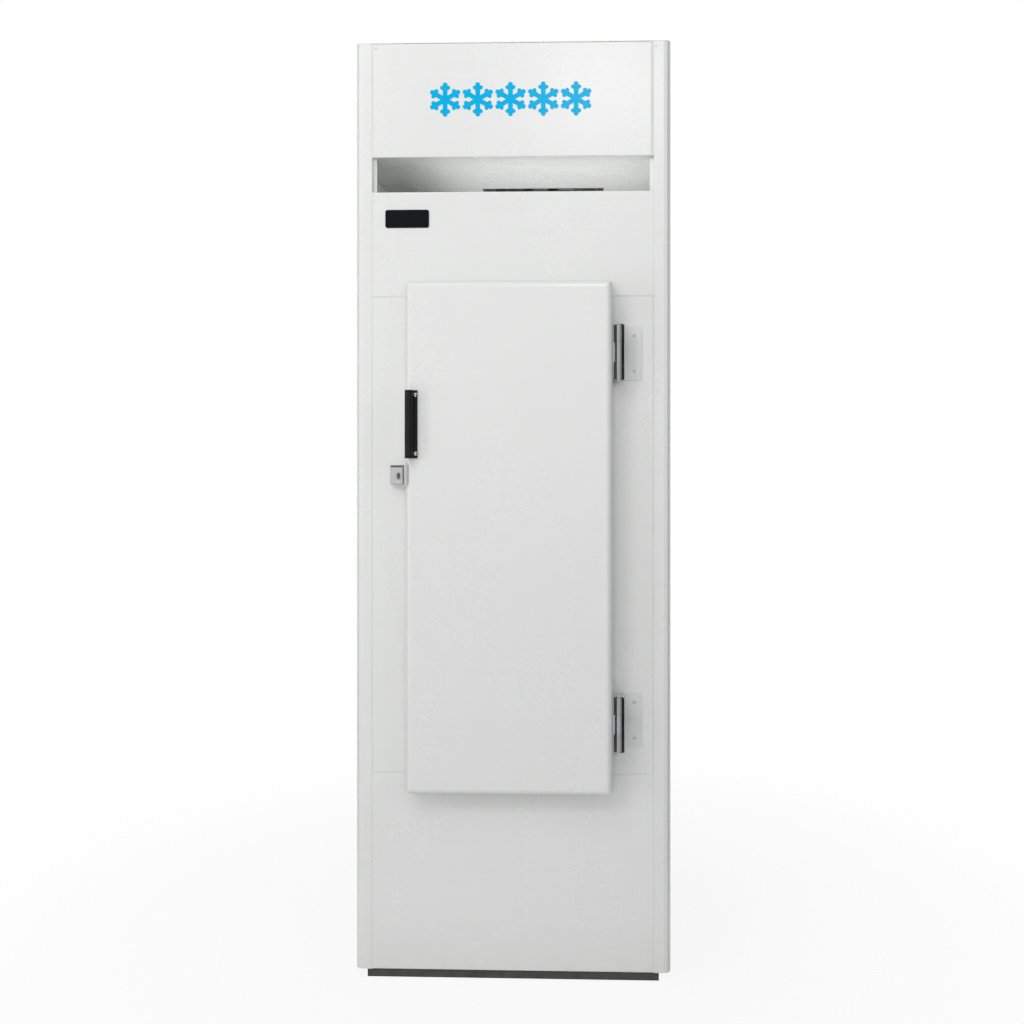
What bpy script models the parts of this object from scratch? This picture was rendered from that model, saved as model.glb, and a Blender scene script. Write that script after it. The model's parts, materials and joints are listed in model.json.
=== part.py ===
"""Upright bagged ice freezer with one solid door and a condensing unit on top.

The cabinet is a folded steel case round a foamed, lined store. A deck above the
store carries the compressor, the finned condenser and its fan, behind a header
panel. The door hangs on two barrel hinges and is held by a key lock. Metres,
+Z up, the front faces -Y, the origin is under the middle of the whole freezer.
"""

import math

import bmesh
import bpy
from mathutils import Matrix, Vector

# Stock, clearances and how finely round forms are divided
SHEET = 0.0012
GAP = 0.0003
BEND = 0.0025
OVERRUN = 0.010
HOLE_CLEARANCE = 0.0008
BEND_STEPS = 3
CORNER_STEPS = 5
SMALL_CORNER_STEPS = 3
ROUND_STEPS = 20
SMALL_STEPS = 12
PIPE_SIDES = 8
COIL_SIDES = 6
SMOOTH_ANGLE = math.radians(35)
HALF_TURN = math.pi
FULL_TURN = 2 * math.pi
QUARTER_TURN = math.pi / 2

# Case
CASE_WIDTH = 0.690
CASE_DEPTH = 0.700
CASE_HEIGHT = 2.050
CORNER_RADIUS = 0.015
FLANGE_WIDTH = 0.037
REAR_FLANGE = 0.020
TAB_DEPTH = 0.012
TAB_WIDTH = 0.008
BASE_HEIGHT = 0.019
BASE_SIDE_INSET = 0.0255
BASE_FRONT_INSET = 0.006
BASE_REAR_INSET = 0.020
BASE_RAIL = 0.045

# Front: the panels, from the floor up and from the top down, and the stiles
LOWER_PANEL_TOP = 0.450
HEADER_HEIGHT = 0.251
SLOT_HEIGHT = 0.076
UPPER_PANEL_HEIGHT = 0.230
SEAM = 0.0015
HEADER_GAP_LEFT = 0.002
HEADER_GAP_RIGHT = 0.006
STILE_LEFT_WIDTH = 0.1103
STILE_RIGHT_WIDTH = 0.1185

# Foam, lining and the strip round the doorway
WALL = 0.060
LINER = 0.001
BREAKER_WALL = 0.0025
BREAKER_LIP = 0.008
BREAKER_CORNER = 0.006

# Door
DOOR_THICKNESS = 0.055
DOOR_OVERLAP = 0.028
DOOR_EDGE_RADIUS = 0.014
DOOR_CORNER_RADIUS = 0.006
DOOR_CORNER_LEAST = 0.001
DOOR_LIP = 0.015
DOOR_SPACE = 0.012
DOOR_LINER = 0.0015
DOOR_LINER_INSET = 0.004
DOOR_LINER_HUMP = 0.007
DOOR_HUMP_INSET = 0.036
DOOR_HUMP_SLOPE = 0.006
GASKET_INSET = 0.006
GASKET_WIDTH = 0.020
GASKET_PLEAT = 0.003

# Hinges, on one axis to the right of the door
PIN_BESIDE_DOOR = 0.015
PIN_FORWARD = 0.040
PIN_RADIUS = 0.004
PIN_HEAD_RADIUS = 0.0075
PIN_HEAD_HEIGHT = 0.003
BARREL_RADIUS = 0.012
BARREL_WALL_CLEARANCE = 0.0004
HINGE_HEIGHT = 0.118
HINGE_DOWN = 0.125
HINGE_UP = 0.120
KNUCKLE_MIDDLE = 0.042
KNUCKLE_GAP = 0.0006
LEAF_THICKNESS = 0.003
LEAF_WIDTH = 0.038
LEAF_CORNER = 0.008
NECK_THICKNESS = 0.004
DOOR_LEAF_THICKNESS = 0.0022
DOOR_LEAF_DEPTH = 0.030
DOOR_LEAF_WEB = 0.012

# Handle on the free edge of the door
HANDLE_INSET = 0.0028
HANDLE_WIDTH = 0.0247
HANDLE_HEIGHT = 0.145
HANDLE_DOWN = 0.352
HANDLE_PROUD = 0.025
HANDLE_WALL = 0.0035
HANDLE_BEND = 0.007
HANDLE_FOOT = 0.0125
HANDLE_END_WALL = 0.004
HANDLE_SCREW_RADIUS = 0.0028
HANDLE_SCREW_HEAD = 0.0016
HANDLE_SCREW_EDGE = 0.010
HANDLE_END_SET = 0.0012

# Lock on the left stile, and its keeper on the door's edge
LOCK_BESIDE_DOOR = 0.0111
LOCK_WIDTH = 0.0277
LOCK_BELOW_HANDLE = 0.058
LOCK_HEIGHT = 0.042
LOCK_PROUD = 0.0235
LOCK_EDGE = 0.002
LOCK_FRONT_WALL = 0.0055
LOCK_PLUG_RADIUS = 0.0074
KEY_ACROSS_SHARE = 0.66
KEY_UP_SHARE = 0.45
LOCK_PLUG_PROUD = 0.001
KEYWAY_WIDTH = 0.0022
KEYWAY_HEIGHT = 0.0090
KEYWAY_DEPTH = 0.004
BOLT_THICKNESS = 0.004
BOLT_HEIGHT = 0.014
BOLT_TRAVEL = 0.0079
BOLT_PLAY = 0.0006
BOLT_TAIL = 0.005
BOLT_RISE = 0.003
CRANK_RADIUS = BOLT_TRAVEL / math.sqrt(2)
CRANK_PIN_RADIUS = 0.0016
CRANK_PLAY = 0.0005
STRIKE_SHEET = 0.0015
STRIKE_FRONT = 0.008
STRIKE_HEIGHT = 0.044
KEEPER_LENGTH = 0.0065
KEEPER_WALL = 0.0025

# Machine deck and what stands on it
DECK_SHEET = 0.0015
DECK_SIDE_FLANGE = 0.024
AIR_CUT_START_SHARE = 0.493
AIR_CUT_BEFORE_CONDENSER = 0.050
AIR_CUT_WIDTH = 0.300
COMPRESSOR_BESIDE = 0.180
COMPRESSOR_IN_SHARE = 0.2714
COMPRESSOR_RADIUS = 0.076
COMPRESSOR_BODY = 0.150
COMPRESSOR_DOME = 0.030
COMPRESSOR_WELD = 0.004
COMPRESSOR_WELD_HEIGHT = 0.006
WELD_UP_SHARE = 0.42
DOME_FLAT_SHARE = 0.35
COMPRESSOR_PLATE = 0.003
COMPRESSOR_FOOT_X = 0.078
COMPRESSOR_FOOT_Y = 0.062
COMPRESSOR_FOOT_EDGE = 0.016
TERMINAL_BOX_WIDTH = 0.050
TERMINAL_BOX_HEIGHT = 0.060
TERMINAL_BOX_DEPTH = 0.026
GROMMET_RADIUS = 0.013
GROMMET_HEIGHT = 0.010
GROMMET_NECK_RADIUS = 0.006
GROMMET_TOP_RADIUS = 0.009
GROMMET_TOP_HEIGHT = 0.004

# Condenser, its shroud and fan
COIL_TUBE_RADIUS = 0.0048
CONDENSER_BESIDE = 0.160
CONDENSER_BACK = 0.155
CONDENSER_LENGTH = 0.270
CONDENSER_PASSES = 6
CONDENSER_PITCH = 0.030
CONDENSER_FINS = 9
CONDENSER_FIN_DEPTH = 0.040
FIN_THICKNESS = 0.0012
FIN_MARGIN = 0.016
COIL_CLEAR_OF_DECK = 0.022
COIL_STUB = 0.003
COIL_BEND_SHARE = 0.46
COIL_END_PLATE = 0.002
COIL_BASE_SHEET = 0.0015
COIL_BASE_LIP = 0.008
SHROUD_DEPTH = 0.034
SHROUD_SHEET = 0.0015
SHROUD_MARGIN = 0.006
FAN_RADIUS = 0.082
FAN_RING_CLEARANCE = 0.006
FAN_HUB_RADIUS = 0.020
FAN_HUB_DEPTH = 0.018
FAN_HUB_EDGE = 0.002
FAN_BLADES = 5
FAN_BLADE_THICKNESS = 0.0016
FAN_BLADE_ROOT = 0.022
BLADE_ROOT_SHARE = 0.85
FAN_BLADE_TIP = 0.046
FAN_ROOT_PITCH = math.radians(38)
FAN_TIP_PITCH = math.radians(22)
FAN_SHAFT_RADIUS = 0.003
FAN_BORE_DEPTH = 0.010
MOTOR_RADIUS = 0.030
MOTOR_LENGTH = 0.042
MOTOR_EDGE = 0.003
MOTOR_NECK_SHARE = 0.8
MOTOR_STAND = 0.014
MOTOR_ARM_WIDTH = 0.012
MOTOR_ARM_THICKNESS = 0.003
MOTOR_ARM_REACH = 0.010

# Pipework
DISCHARGE_RADIUS = 0.004
LIQUID_RADIUS = 0.003
SUCTION_RADIUS = 0.005
PIPE_BEND = 0.016
PIPE_BEND_STEPS = 3
DRIER_RADIUS = 0.011
DRIER_LENGTH = 0.080
DRIER_TAPER = 0.012
SUCTION_IN_HOUSING = 0.017
SUCTION_UP = 0.106
LIQUID_IN_STORE = 0.0202
DRIER_BESIDE = 0.021
DISCHARGE_BESIDE = 0.071
DISCHARGE_OFFSET = 0.030
DISCHARGE_OUT = 0.135

# Rear: grille, control box, knob, switch, gland
LOUVRE_ROWS = 7
LOUVRE_PITCH = 0.026
LOUVRE_OPENING = 0.009
LOUVRE_STAND = 0.006
HOOD_ROOT_SHARE = 0.5
LOUVRE_BOTTOM = 0.040
CONTROL_BESIDE = 0.045
CONTROL_WIDTH = 0.130
CONTROL_HEIGHT = 0.130
CONTROL_DEPTH = 0.070
CONTROL_RAISE = 0.030
CONTROL_EDGE = 0.004
KNOB_RADIUS = 0.017
KNOB_LENGTH = 0.011
KNOB_GRIP = 0.0035
KNOB_TAPER = 0.002
KNOB_SHAFT_RADIUS = 0.003
KNOB_SHAFT_REACH = 0.018
KNOB_UP_SHARE = 0.68
SWITCH_RADIUS = 0.010
SWITCH_WIDTH = 0.014
SWITCH_SINK = 0.0045
SWITCH_PLAY = 0.0006
SWITCH_FACE = math.radians(52)
SWITCH_BACK = math.radians(100)
SWITCH_TILT = math.radians(8)
SWITCH_WAIST = 0.0049
SWITCH_UP_SHARE = 0.24
GLAND_RADIUS = 0.011
GLAND_NECK_RADIUS = 0.008
GLAND_CAP_RADIUS = 0.0085
GLAND_CAP_LENGTH = 0.009
GLAND_FLANGE = 0.003
GLAND_NUT = 0.005
GLAND_BORE_RADIUS = 0.0042
GLAND_BESIDE = 0.040
GLAND_ROOM = 0.085
GLAND_RAISE = 0.045
REAR_PROUD = 0.014

# Evaporator under the ceiling of the store
EVAPORATOR_END_ROOM = 0.0822
EVAPORATOR_PASSES = 4
EVAPORATOR_PITCH = 0.030
EVAPORATOR_FINS = 8
EVAPORATOR_FIN_DEPTH = 0.070
EVAPORATOR_COIL_BACK = 0.085
EVAPORATOR_HANG = 0.010
HOUSING_SIDE_ROOM = 0.0372
HOUSING_HEIGHT = 0.160
HOUSING_DEPTH = 0.270
HOUSING_BACK = 0.045
HOUSING_SHEET = 0.0012
TRAY_DEPTH = 0.022
TRAY_RIM = 0.003
DRAIN_RADIUS = 0.008
DRAIN_BORE = 0.007
EVAPORATOR_FAN_RADIUS = 0.062

# Floor rack of the store
RACK_EDGE = 0.012
RACK_BAR = 0.006
RACK_SLATS = 9
RACK_FEET = 0.014
RACK_RUNNERS = 3

# Places that follow from the sizes above
REAR_REACH = REAR_PROUD
FRONT_REACH = DOOR_SPACE + DOOR_THICKNESS + HANDLE_PROUD
FRONT_Y = FRONT_REACH - (FRONT_REACH + CASE_DEPTH + REAR_REACH) / 2
BACK_Y = FRONT_Y + CASE_DEPTH
HALF_WIDTH = CASE_WIDTH / 2
BAY_HALF = HALF_WIDTH - FLANGE_WIDTH
OPENING_LEFT = BAY_HALF - STILE_LEFT_WIDTH
OPENING_RIGHT = BAY_HALF - STILE_RIGHT_WIDTH
DECK_HEIGHT = CASE_HEIGHT - HEADER_HEIGHT
UPPER_PANEL_TOP = DECK_HEIGHT - SLOT_HEIGHT
UPPER_PANEL_BOTTOM = UPPER_PANEL_TOP - UPPER_PANEL_HEIGHT
INSIDE_HALF = HALF_WIDTH - SHEET - GAP
BEHIND_TABS = FRONT_Y + max(TAB_DEPTH + SHEET + GAP, CORNER_RADIUS)
RETURN_END = FRONT_Y + TAB_DEPTH - BEND
TONGUE_HALF = BAY_HALF - TAB_WIDTH - GAP
REAR_SHEET_OUT = BACK_Y - SHEET - GAP
REAR_SHEET_IN = REAR_SHEET_OUT - SHEET
BEFORE_REAR_SHEET = REAR_SHEET_IN - GAP
BODY_BOTTOM = BASE_HEIGHT + GAP
PAN_BOTTOM = BODY_BOTTOM + SHEET + GAP
FOAM_BOTTOM = PAN_BOTTOM + SHEET + GAP
ROOF_TOP = UPPER_PANEL_TOP - SHEET - GAP
FOAM_TOP = ROOF_TOP - SHEET - GAP
SIDE_TOP = CASE_HEIGHT - SHEET - GAP
DECK_TOP = DECK_HEIGHT + SHEET + GAP + DECK_SHEET
CAVITY_HALF = INSIDE_HALF - WALL
CAVITY_FRONT = FRONT_Y + WALL
CAVITY_BACK = BEFORE_REAR_SHEET - WALL
CAVITY_BOTTOM = FOAM_BOTTOM + WALL
CAVITY_TOP = FOAM_TOP - WALL
STORE_HALF = CAVITY_HALF - GAP - LINER
STORE_FRONT = CAVITY_FRONT + GAP + LINER
STORE_BACK = CAVITY_BACK - GAP - LINER
STORE_BOTTOM = CAVITY_BOTTOM + GAP + LINER
STORE_TOP = CAVITY_TOP - GAP - LINER
DOOR_LEFT = -OPENING_LEFT - DOOR_OVERLAP
DOOR_RIGHT = OPENING_RIGHT + DOOR_OVERLAP
DOOR_BOTTOM = LOWER_PANEL_TOP - DOOR_OVERLAP
DOOR_TOP = UPPER_PANEL_BOTTOM + DOOR_OVERLAP
DOOR_BACK = FRONT_Y - DOOR_SPACE
DOOR_FACE = DOOR_BACK - DOOR_THICKNESS
PIN_X = DOOR_RIGHT + PIN_BESIDE_DOOR
PIN_Y = FRONT_Y - PIN_FORWARD
DOOR_AXIS = Vector((PIN_X, PIN_Y, 0))
HINGE_UPPER_Z = UPPER_PANEL_BOTTOM - HINGE_DOWN
HINGE_LOWER_Z = LOWER_PANEL_TOP + HINGE_UP
HANDLE_LEFT = DOOR_LEFT + HANDLE_INSET
HANDLE_BOTTOM = UPPER_PANEL_BOTTOM - HANDLE_DOWN
LOCK_RIGHT = DOOR_LEFT - LOCK_BESIDE_DOOR
LOCK_LEFT = LOCK_RIGHT - LOCK_WIDTH
LOCK_BOTTOM = HANDLE_BOTTOM - LOCK_BELOW_HANDLE
KEY_X = LOCK_LEFT + LOCK_WIDTH * KEY_ACROSS_SHARE
KEY_Z = LOCK_BOTTOM + LOCK_HEIGHT * KEY_UP_SHARE
CRANK_X = KEY_X - BOLT_TRAVEL / 2
CRANK_Z = KEY_Z + BOLT_TRAVEL / 2
BOLT_FRONT = FRONT_Y - LOCK_PROUD + LOCK_FRONT_WALL + BOLT_PLAY
BOLT_REAR = BOLT_FRONT + BOLT_THICKNESS
BOLT_RIGHT = LOCK_RIGHT - GAP
BOLT_LEFT = CRANK_X - BOLT_TAIL
BOLT_Z = KEY_Z + BOLT_RISE
DECK_UNDER = DECK_TOP - DECK_SHEET
COMPRESSOR_X = COMPRESSOR_BESIDE - HALF_WIDTH
COMPRESSOR_Y = FRONT_Y + CASE_DEPTH * COMPRESSOR_IN_SHARE
CONDENSER_RIGHT = HALF_WIDTH - CONDENSER_BESIDE
CONDENSER_X = CONDENSER_RIGHT - CONDENSER_LENGTH / 2
CONDENSER_Y = BACK_Y - CONDENSER_BACK
SHROUD_BACK = CONDENSER_Y + CONDENSER_FIN_DEPTH / 2 + GAP + SHROUD_DEPTH
CONDENSER_FIRST_Z = DECK_TOP + COIL_CLEAR_OF_DECK
CONDENSER_HEIGHTS = [CONDENSER_FIRST_Z + CONDENSER_PITCH * k for k in range(CONDENSER_PASSES)]
CONDENSER_FAN_Z = (CONDENSER_HEIGHTS[0] + CONDENSER_HEIGHTS[-1]) / 2
HOUSING_HALF_WIDTH = STORE_HALF - HOUSING_SIDE_ROOM
EVAPORATOR_LENGTH = (STORE_HALF - EVAPORATOR_END_ROOM) * 2
SUCTION_X = HOUSING_HALF_WIDTH - SUCTION_IN_HOUSING
SUCTION_Z = DECK_HEIGHT + SUCTION_UP
LIQUID_X = STORE_HALF - LIQUID_IN_STORE
DRIER_X = CONDENSER_RIGHT + DRIER_BESIDE
DISCHARGE_X = CONDENSER_RIGHT + DISCHARGE_BESIDE
DISCHARGE_RISE_X = COMPRESSOR_X + DISCHARGE_OUT
HOUSING_REAR = STORE_BACK - HOUSING_BACK
HOUSING_FRONT = HOUSING_REAR - HOUSING_DEPTH
HOUSING_BOTTOM = STORE_TOP - GAP - HOUSING_HEIGHT
TRAY_BOTTOM = HOUSING_BOTTOM - GAP - TRAY_DEPTH
DRAIN_Z = TRAY_BOTTOM + HOUSING_SHEET + DRAIN_RADIUS + HOLE_CLEARANCE + GAP
EVAPORATOR_Y = STORE_BACK - EVAPORATOR_COIL_BACK
EVAPORATOR_SPAN = EVAPORATOR_PITCH * (EVAPORATOR_PASSES - 1)
EVAPORATOR_FIRST_Z = STORE_TOP - EVAPORATOR_HANG - FIN_MARGIN - EVAPORATOR_SPAN
EVAPORATOR_HEIGHTS = [EVAPORATOR_FIRST_Z + EVAPORATOR_PITCH * k for k in range(EVAPORATOR_PASSES)]
EVAPORATOR_FAN_Z = STORE_TOP - GAP - HOUSING_HEIGHT / 2
CONTROL_RIGHT = CONTROL_BESIDE - HALF_WIDTH + CONTROL_WIDTH
CONTROL_X = CONTROL_RIGHT - CONTROL_WIDTH / 2
GLAND_X = CONTROL_RIGHT + GLAND_BESIDE
LOUVRE_LEFT = CONTROL_RIGHT + GLAND_ROOM
LOUVRE_FIRST_Z = DECK_TOP + LOUVRE_BOTTOM
CONTROL_BOTTOM = DECK_TOP + CONTROL_RAISE
KNOB_Z = CONTROL_BOTTOM + CONTROL_HEIGHT * KNOB_UP_SHARE
SWITCH_Z = CONTROL_BOTTOM + CONTROL_HEIGHT * SWITCH_UP_SHARE
SWITCH_Y = REAR_SHEET_OUT - SWITCH_SINK
GLAND_Z = DECK_TOP + GLAND_RAISE

FINISHES = {
    "white_enamel": ((0.82, 0.83, 0.82), 0.28, 0.0),
    "white_plastic": ((0.80, 0.81, 0.80), 0.45, 0.0),
    "grey_plastic": ((0.42, 0.43, 0.44), 0.55, 0.0),
    "black_plastic": ((0.018, 0.018, 0.020), 0.45, 0.0),
    "black_enamel": ((0.020, 0.020, 0.022), 0.38, 0.0),
    "pale_foam": ((0.80, 0.70, 0.42), 0.90, 0.0),
    "zinc_sheet": ((0.58, 0.60, 0.61), 0.42, 1.0),
    "bright_chrome": ((0.78, 0.79, 0.80), 0.14, 1.0),
    "satin_steel": ((0.62, 0.63, 0.64), 0.34, 1.0),
    "copper": ((0.72, 0.36, 0.20), 0.32, 1.0),
    "aluminium": ((0.74, 0.75, 0.76), 0.38, 1.0),
    "black_rubber": ((0.025, 0.025, 0.026), 0.80, 0.0),
    "pale_rubber": ((0.60, 0.61, 0.61), 0.70, 0.0),
}


def clear_scene():
    """Remove whatever the opened scene holds."""
    for item in list(bpy.data.objects):
        bpy.data.objects.remove(item, do_unlink=True)


def material_for(finish):
    """Give the material of a finish, made on its first use."""
    found = bpy.data.materials.get(finish)
    if found:
        return found
    colour, roughness, metallic = FINISHES[finish]
    made = bpy.data.materials.new(finish)
    made.use_nodes = True
    shader = made.node_tree.nodes["Principled BSDF"]
    shader.inputs["Base Color"].default_value = (*colour, 1)
    shader.inputs["Roughness"].default_value = roughness
    shader.inputs["Metallic"].default_value = metallic
    return made


def joint_axis(name, place):
    """Make the empty that stands on a joint's axis."""
    axis = bpy.data.objects.new(name, None)
    axis.location = place
    bpy.context.scene.collection.objects.link(axis)
    return axis


def add_piece(name, form, finish, axis=None, smooth=False):
    """Turn a form into a named piece, with its origin on its joint's axis if it has one."""
    bmesh.ops.recalc_face_normals(form, faces=form.faces)
    mesh = bpy.data.meshes.new(name)
    if axis:
        bmesh.ops.translate(form, verts=form.verts, vec=-axis.location)
    form.to_mesh(mesh)
    form.free()
    mesh.materials.append(material_for(finish))
    if smooth:
        mesh.shade_smooth()
        mesh.set_sharp_from_angle(angle=SMOOTH_ANGLE)
    piece = bpy.data.objects.new(name, mesh)
    piece.parent = axis
    bpy.context.scene.collection.objects.link(piece)
    return piece


def tool_object(name, form):
    """Turn a form into a hidden helper that cuts or adds to a piece."""
    bmesh.ops.recalc_face_normals(form, faces=form.faces)
    mesh = bpy.data.meshes.new(name)
    form.to_mesh(mesh)
    form.free()
    helper = bpy.data.objects.new(name, mesh)
    helper.hide_render = True
    helper.display_type = "WIRE"
    bpy.context.scene.collection.objects.link(helper)
    return helper


def combine(piece, operation, forms):
    """Cut forms out of a piece, or join them to it, one Boolean for each."""
    for form in forms:
        step = len(piece.modifiers)
        helper = tool_object(f"{piece.name}_tool_{step}", form)
        change = piece.modifiers.new(f"step_{step}", "BOOLEAN")
        change.operation = operation
        change.solver = "EXACT"
        change.object = helper


def cut(piece, *forms):
    """Cut each form out of a piece."""
    combine(piece, "DIFFERENCE", forms)


def join(piece, *forms):
    """Join each form to a piece, so that they are one body."""
    combine(piece, "UNION", forms)


def add_slab(form, low, high):
    """Add a block between two opposite corners to a form."""
    low, high = Vector(map(min, low, high)), Vector(map(max, low, high))
    made = bmesh.ops.create_cube(form, size=1)["verts"]
    bmesh.ops.scale(form, verts=made, vec=high - low)
    bmesh.ops.translate(form, verts=made, vec=(low + high) / 2)


def slab(low, high):
    """Make a block between two opposite corners."""
    form = bmesh.new()
    add_slab(form, low, high)
    return form


def loft(form, loops, ring=False):
    """Skin a row of loops that have as many points each.

    A ring closes the last loop on the first, otherwise both ends are capped.
    """
    rows = [[form.verts.new(point) for point in loop] for loop in loops]
    pairs = list(zip(rows, rows[1:]))
    if ring:
        pairs.append((rows[-1], rows[0]))
    for near, far in pairs:
        for index in range(len(near)):
            after = (index + 1) % len(near)
            form.faces.new((near[index], near[after], far[after], far[index]))
    if not ring:
        form.faces.new(rows[0])
        form.faces.new(list(reversed(rows[-1])))


def lofted(loops, ring=False):
    """Make a form from a row of loops."""
    form = bmesh.new()
    loft(form, loops, ring)
    return form


def in_plane(plane, across, up, along):
    """Put plane coordinates into space: XY, XZ or YZ, and the distance along the third axis."""
    if plane == "XY":
        return Vector((across, up, along))
    if plane == "XZ":
        return Vector((across, along, up))
    return Vector((along, across, up))


def drawn(outline, plane, start, end):
    """Draw a closed outline in a plane out from one distance to another."""
    loops = [[in_plane(plane, a, b, along) for a, b in outline] for along in (start, end)]
    return lofted(loops)


def box_loop(plane, span, along, inset=0.0, radius=0.0, steps=CORNER_STEPS):
    """Give a rectangle with round corners, drawn in by an inset.

    The span is its low and high side across, then its low and high side up.
    """
    low, high, bottom, top = span
    low, high, bottom, top = low + inset, high - inset, bottom + inset, top - inset
    if radius <= 0:
        corners = [(low, bottom), (high, bottom), (high, top), (low, top)]
        return [in_plane(plane, a, b, along) for a, b in corners]
    centres = [
        (high - radius, bottom + radius, -QUARTER_TURN),
        (high - radius, top - radius, 0.0),
        (low + radius, top - radius, QUARTER_TURN),
        (low + radius, bottom + radius, HALF_TURN),
    ]
    points = []
    for a, b, first in centres:
        for step in range(steps + 1):
            turn = first + QUARTER_TURN * step / steps
            place = (a + radius * math.cos(turn), b + radius * math.sin(turn))
            points.append(in_plane(plane, *place, along))
    return points


def turned(profile, centre, axis="Z", steps=ROUND_STEPS, ring=False):
    """Turn a profile of radius and distance round an axis through a centre."""
    plane = {"Z": "XY", "Y": "XZ", "X": "YZ"}[axis]
    loops = []
    for radius, along in profile:
        loop = []
        for step in range(steps):
            turn = FULL_TURN * step / steps
            loop.append(in_plane(plane, radius * math.cos(turn), radius * math.sin(turn), along))
        loops.append([Vector(centre) + point for point in loop])
    return lofted(loops, ring)


def rod(start, end, radius, steps=SMALL_STEPS):
    """Make a plain round bar between two points."""
    return swept([Vector(start), Vector(end)], radius, steps)


def rounded_route(corners, bend, steps=PIPE_BEND_STEPS):
    """Round the corners of a route to one bend radius."""
    corners = [Vector(corner) for corner in corners]
    route = [corners[0]]
    for before, corner, after in zip(corners, corners[1:], corners[2:]):
        come = (corner - before).normalized()
        go = (after - corner).normalized()
        turn = come.angle(go)
        reach = bend * math.tan(turn / 2)
        start = corner - come * reach
        centre = corner + (go - come).normalized() * (bend / math.cos(turn / 2))
        axis = come.cross(go).normalized()
        for step in range(steps + 1):
            swing = Matrix.Rotation(turn * step / steps, 3, axis)
            route.append(centre + swing @ (start - centre))
    route.append(corners[-1])
    return route


def swept(route, radius, sides=PIPE_SIDES):
    """Sweep a circle along a route without twisting it."""
    ahead = (route[1] - route[0]).normalized()
    across = ahead.orthogonal().normalized()
    loops = []
    for index, point in enumerate(route):
        first = route[max(index - 1, 0)]
        last = route[min(index + 1, len(route) - 1)]
        heading = (last - first).normalized()
        across = (ahead.rotation_difference(heading) @ across).normalized()
        ahead = heading
        beside = heading.cross(across)
        loop = []
        for side in range(sides):
            turn = FULL_TURN * side / sides
            loop.append(point + radius * (math.cos(turn) * across + math.sin(turn) * beside))
        loops.append(loop)
    return lofted(loops)


def bent_strip(path, bends, thickness, side, steps=BEND_STEPS):
    """Give the outline of sheet folded along a path.

    The path is one face of the sheet, and the other lies to its left (side 1) or
    right (side -1). Each bend is the outer radius at one inner point of the path.
    """
    path = [Vector(point) for point in path]
    headings = [(b - a).normalized() for a, b in zip(path, path[1:])]
    normals = [Vector((-h.y, h.x)) * side for h in headings]
    face = [path[0]]
    other = [path[0] + normals[0] * thickness]
    for index, bend in enumerate(bends):
        come, go = headings[index], headings[index + 1]
        corner = path[index + 1]
        turn = come.angle_signed(go) * -1
        inward = turn * side > 0
        near = bend if inward else bend - thickness
        far = bend - thickness if inward else bend
        toward = normals[index] if inward else -normals[index]
        reach = near * math.tan(abs(turn) / 2)
        centre = corner - come * reach + toward * near
        for step in range(steps + 1):
            swing = Matrix.Rotation(turn * step / steps, 2)
            spoke = swing @ -toward
            face.append(centre + spoke * near)
            other.append(centre + spoke * far)
    face.append(path[-1])
    other.append(path[-1] + normals[-1] * thickness)
    return [tuple(point) for point in face + list(reversed(other))]


def make_base_frame():
    """Make the black plinth that the freezer stands on."""
    span = (
        BASE_SIDE_INSET - HALF_WIDTH,
        HALF_WIDTH - BASE_SIDE_INSET,
        FRONT_Y + BASE_FRONT_INSET,
        BACK_Y - BASE_REAR_INSET,
    )
    rail = [(0, 0), (BASE_HEIGHT, 0), (BASE_HEIGHT, BASE_RAIL), (0, BASE_RAIL)]
    loops = [box_loop("XY", span, height, inset) for height, inset in rail]
    add_piece("base_frame", lofted(loops, ring=True), "black_enamel")


def make_side_panel(name, side):
    """Make a side of the case, folded in at the back and, round a corner, at the front."""
    path = [
        (HALF_WIDTH - REAR_FLANGE, BACK_Y),
        (HALF_WIDTH, BACK_Y),
        (HALF_WIDTH, FRONT_Y),
        (BAY_HALF, FRONT_Y),
        (BAY_HALF, FRONT_Y + TAB_DEPTH),
        (BAY_HALF - TAB_WIDTH, FRONT_Y + TAB_DEPTH),
    ]
    outline = bent_strip(path, [BEND, CORNER_RADIUS, BEND, BEND], SHEET, -1)
    outline = [(side * across, deep) for across, deep in outline]
    add_piece(name, drawn(outline, "XY", BODY_BOTTOM, SIDE_TOP), "white_enamel", smooth=True)


def tongued_sheet(name, bottom, finish):
    """Make a flat sheet that fills the case and reaches forward between its front tabs."""
    tip = FRONT_Y + BEND + GAP
    outline = [
        (-INSIDE_HALF, BEHIND_TABS),
        (-TONGUE_HALF, BEHIND_TABS),
        (-TONGUE_HALF, tip),
        (TONGUE_HALF, tip),
        (TONGUE_HALF, BEHIND_TABS),
        (INSIDE_HALF, BEHIND_TABS),
        (INSIDE_HALF, BEFORE_REAR_SHEET),
        (-INSIDE_HALF, BEFORE_REAR_SHEET),
    ]
    return add_piece(name, drawn(outline, "XY", bottom, bottom + SHEET), finish)


def make_front_panel(name, bottom, top, left, right):
    """Make a front panel that spans the bay, folded back along its top and bottom."""
    path = [(RETURN_END, top), (FRONT_Y, top), (FRONT_Y, bottom), (RETURN_END, bottom)]
    outline = bent_strip(path, [BEND, BEND], SHEET, 1)
    add_piece(name, drawn(outline, "YZ", left, right), "white_enamel", smooth=True)


def make_stile(name, left, right):
    """Make an upright beside the doorway, folded back along both sides."""
    path = [(left, RETURN_END), (left, FRONT_Y), (right, FRONT_Y), (right, RETURN_END)]
    outline = bent_strip(path, [BEND, BEND], SHEET, 1)
    form = drawn(outline, "XY", LOWER_PANEL_TOP + SEAM, UPPER_PANEL_BOTTOM - SEAM)
    add_piece(name, form, "white_enamel", smooth=True)


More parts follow.
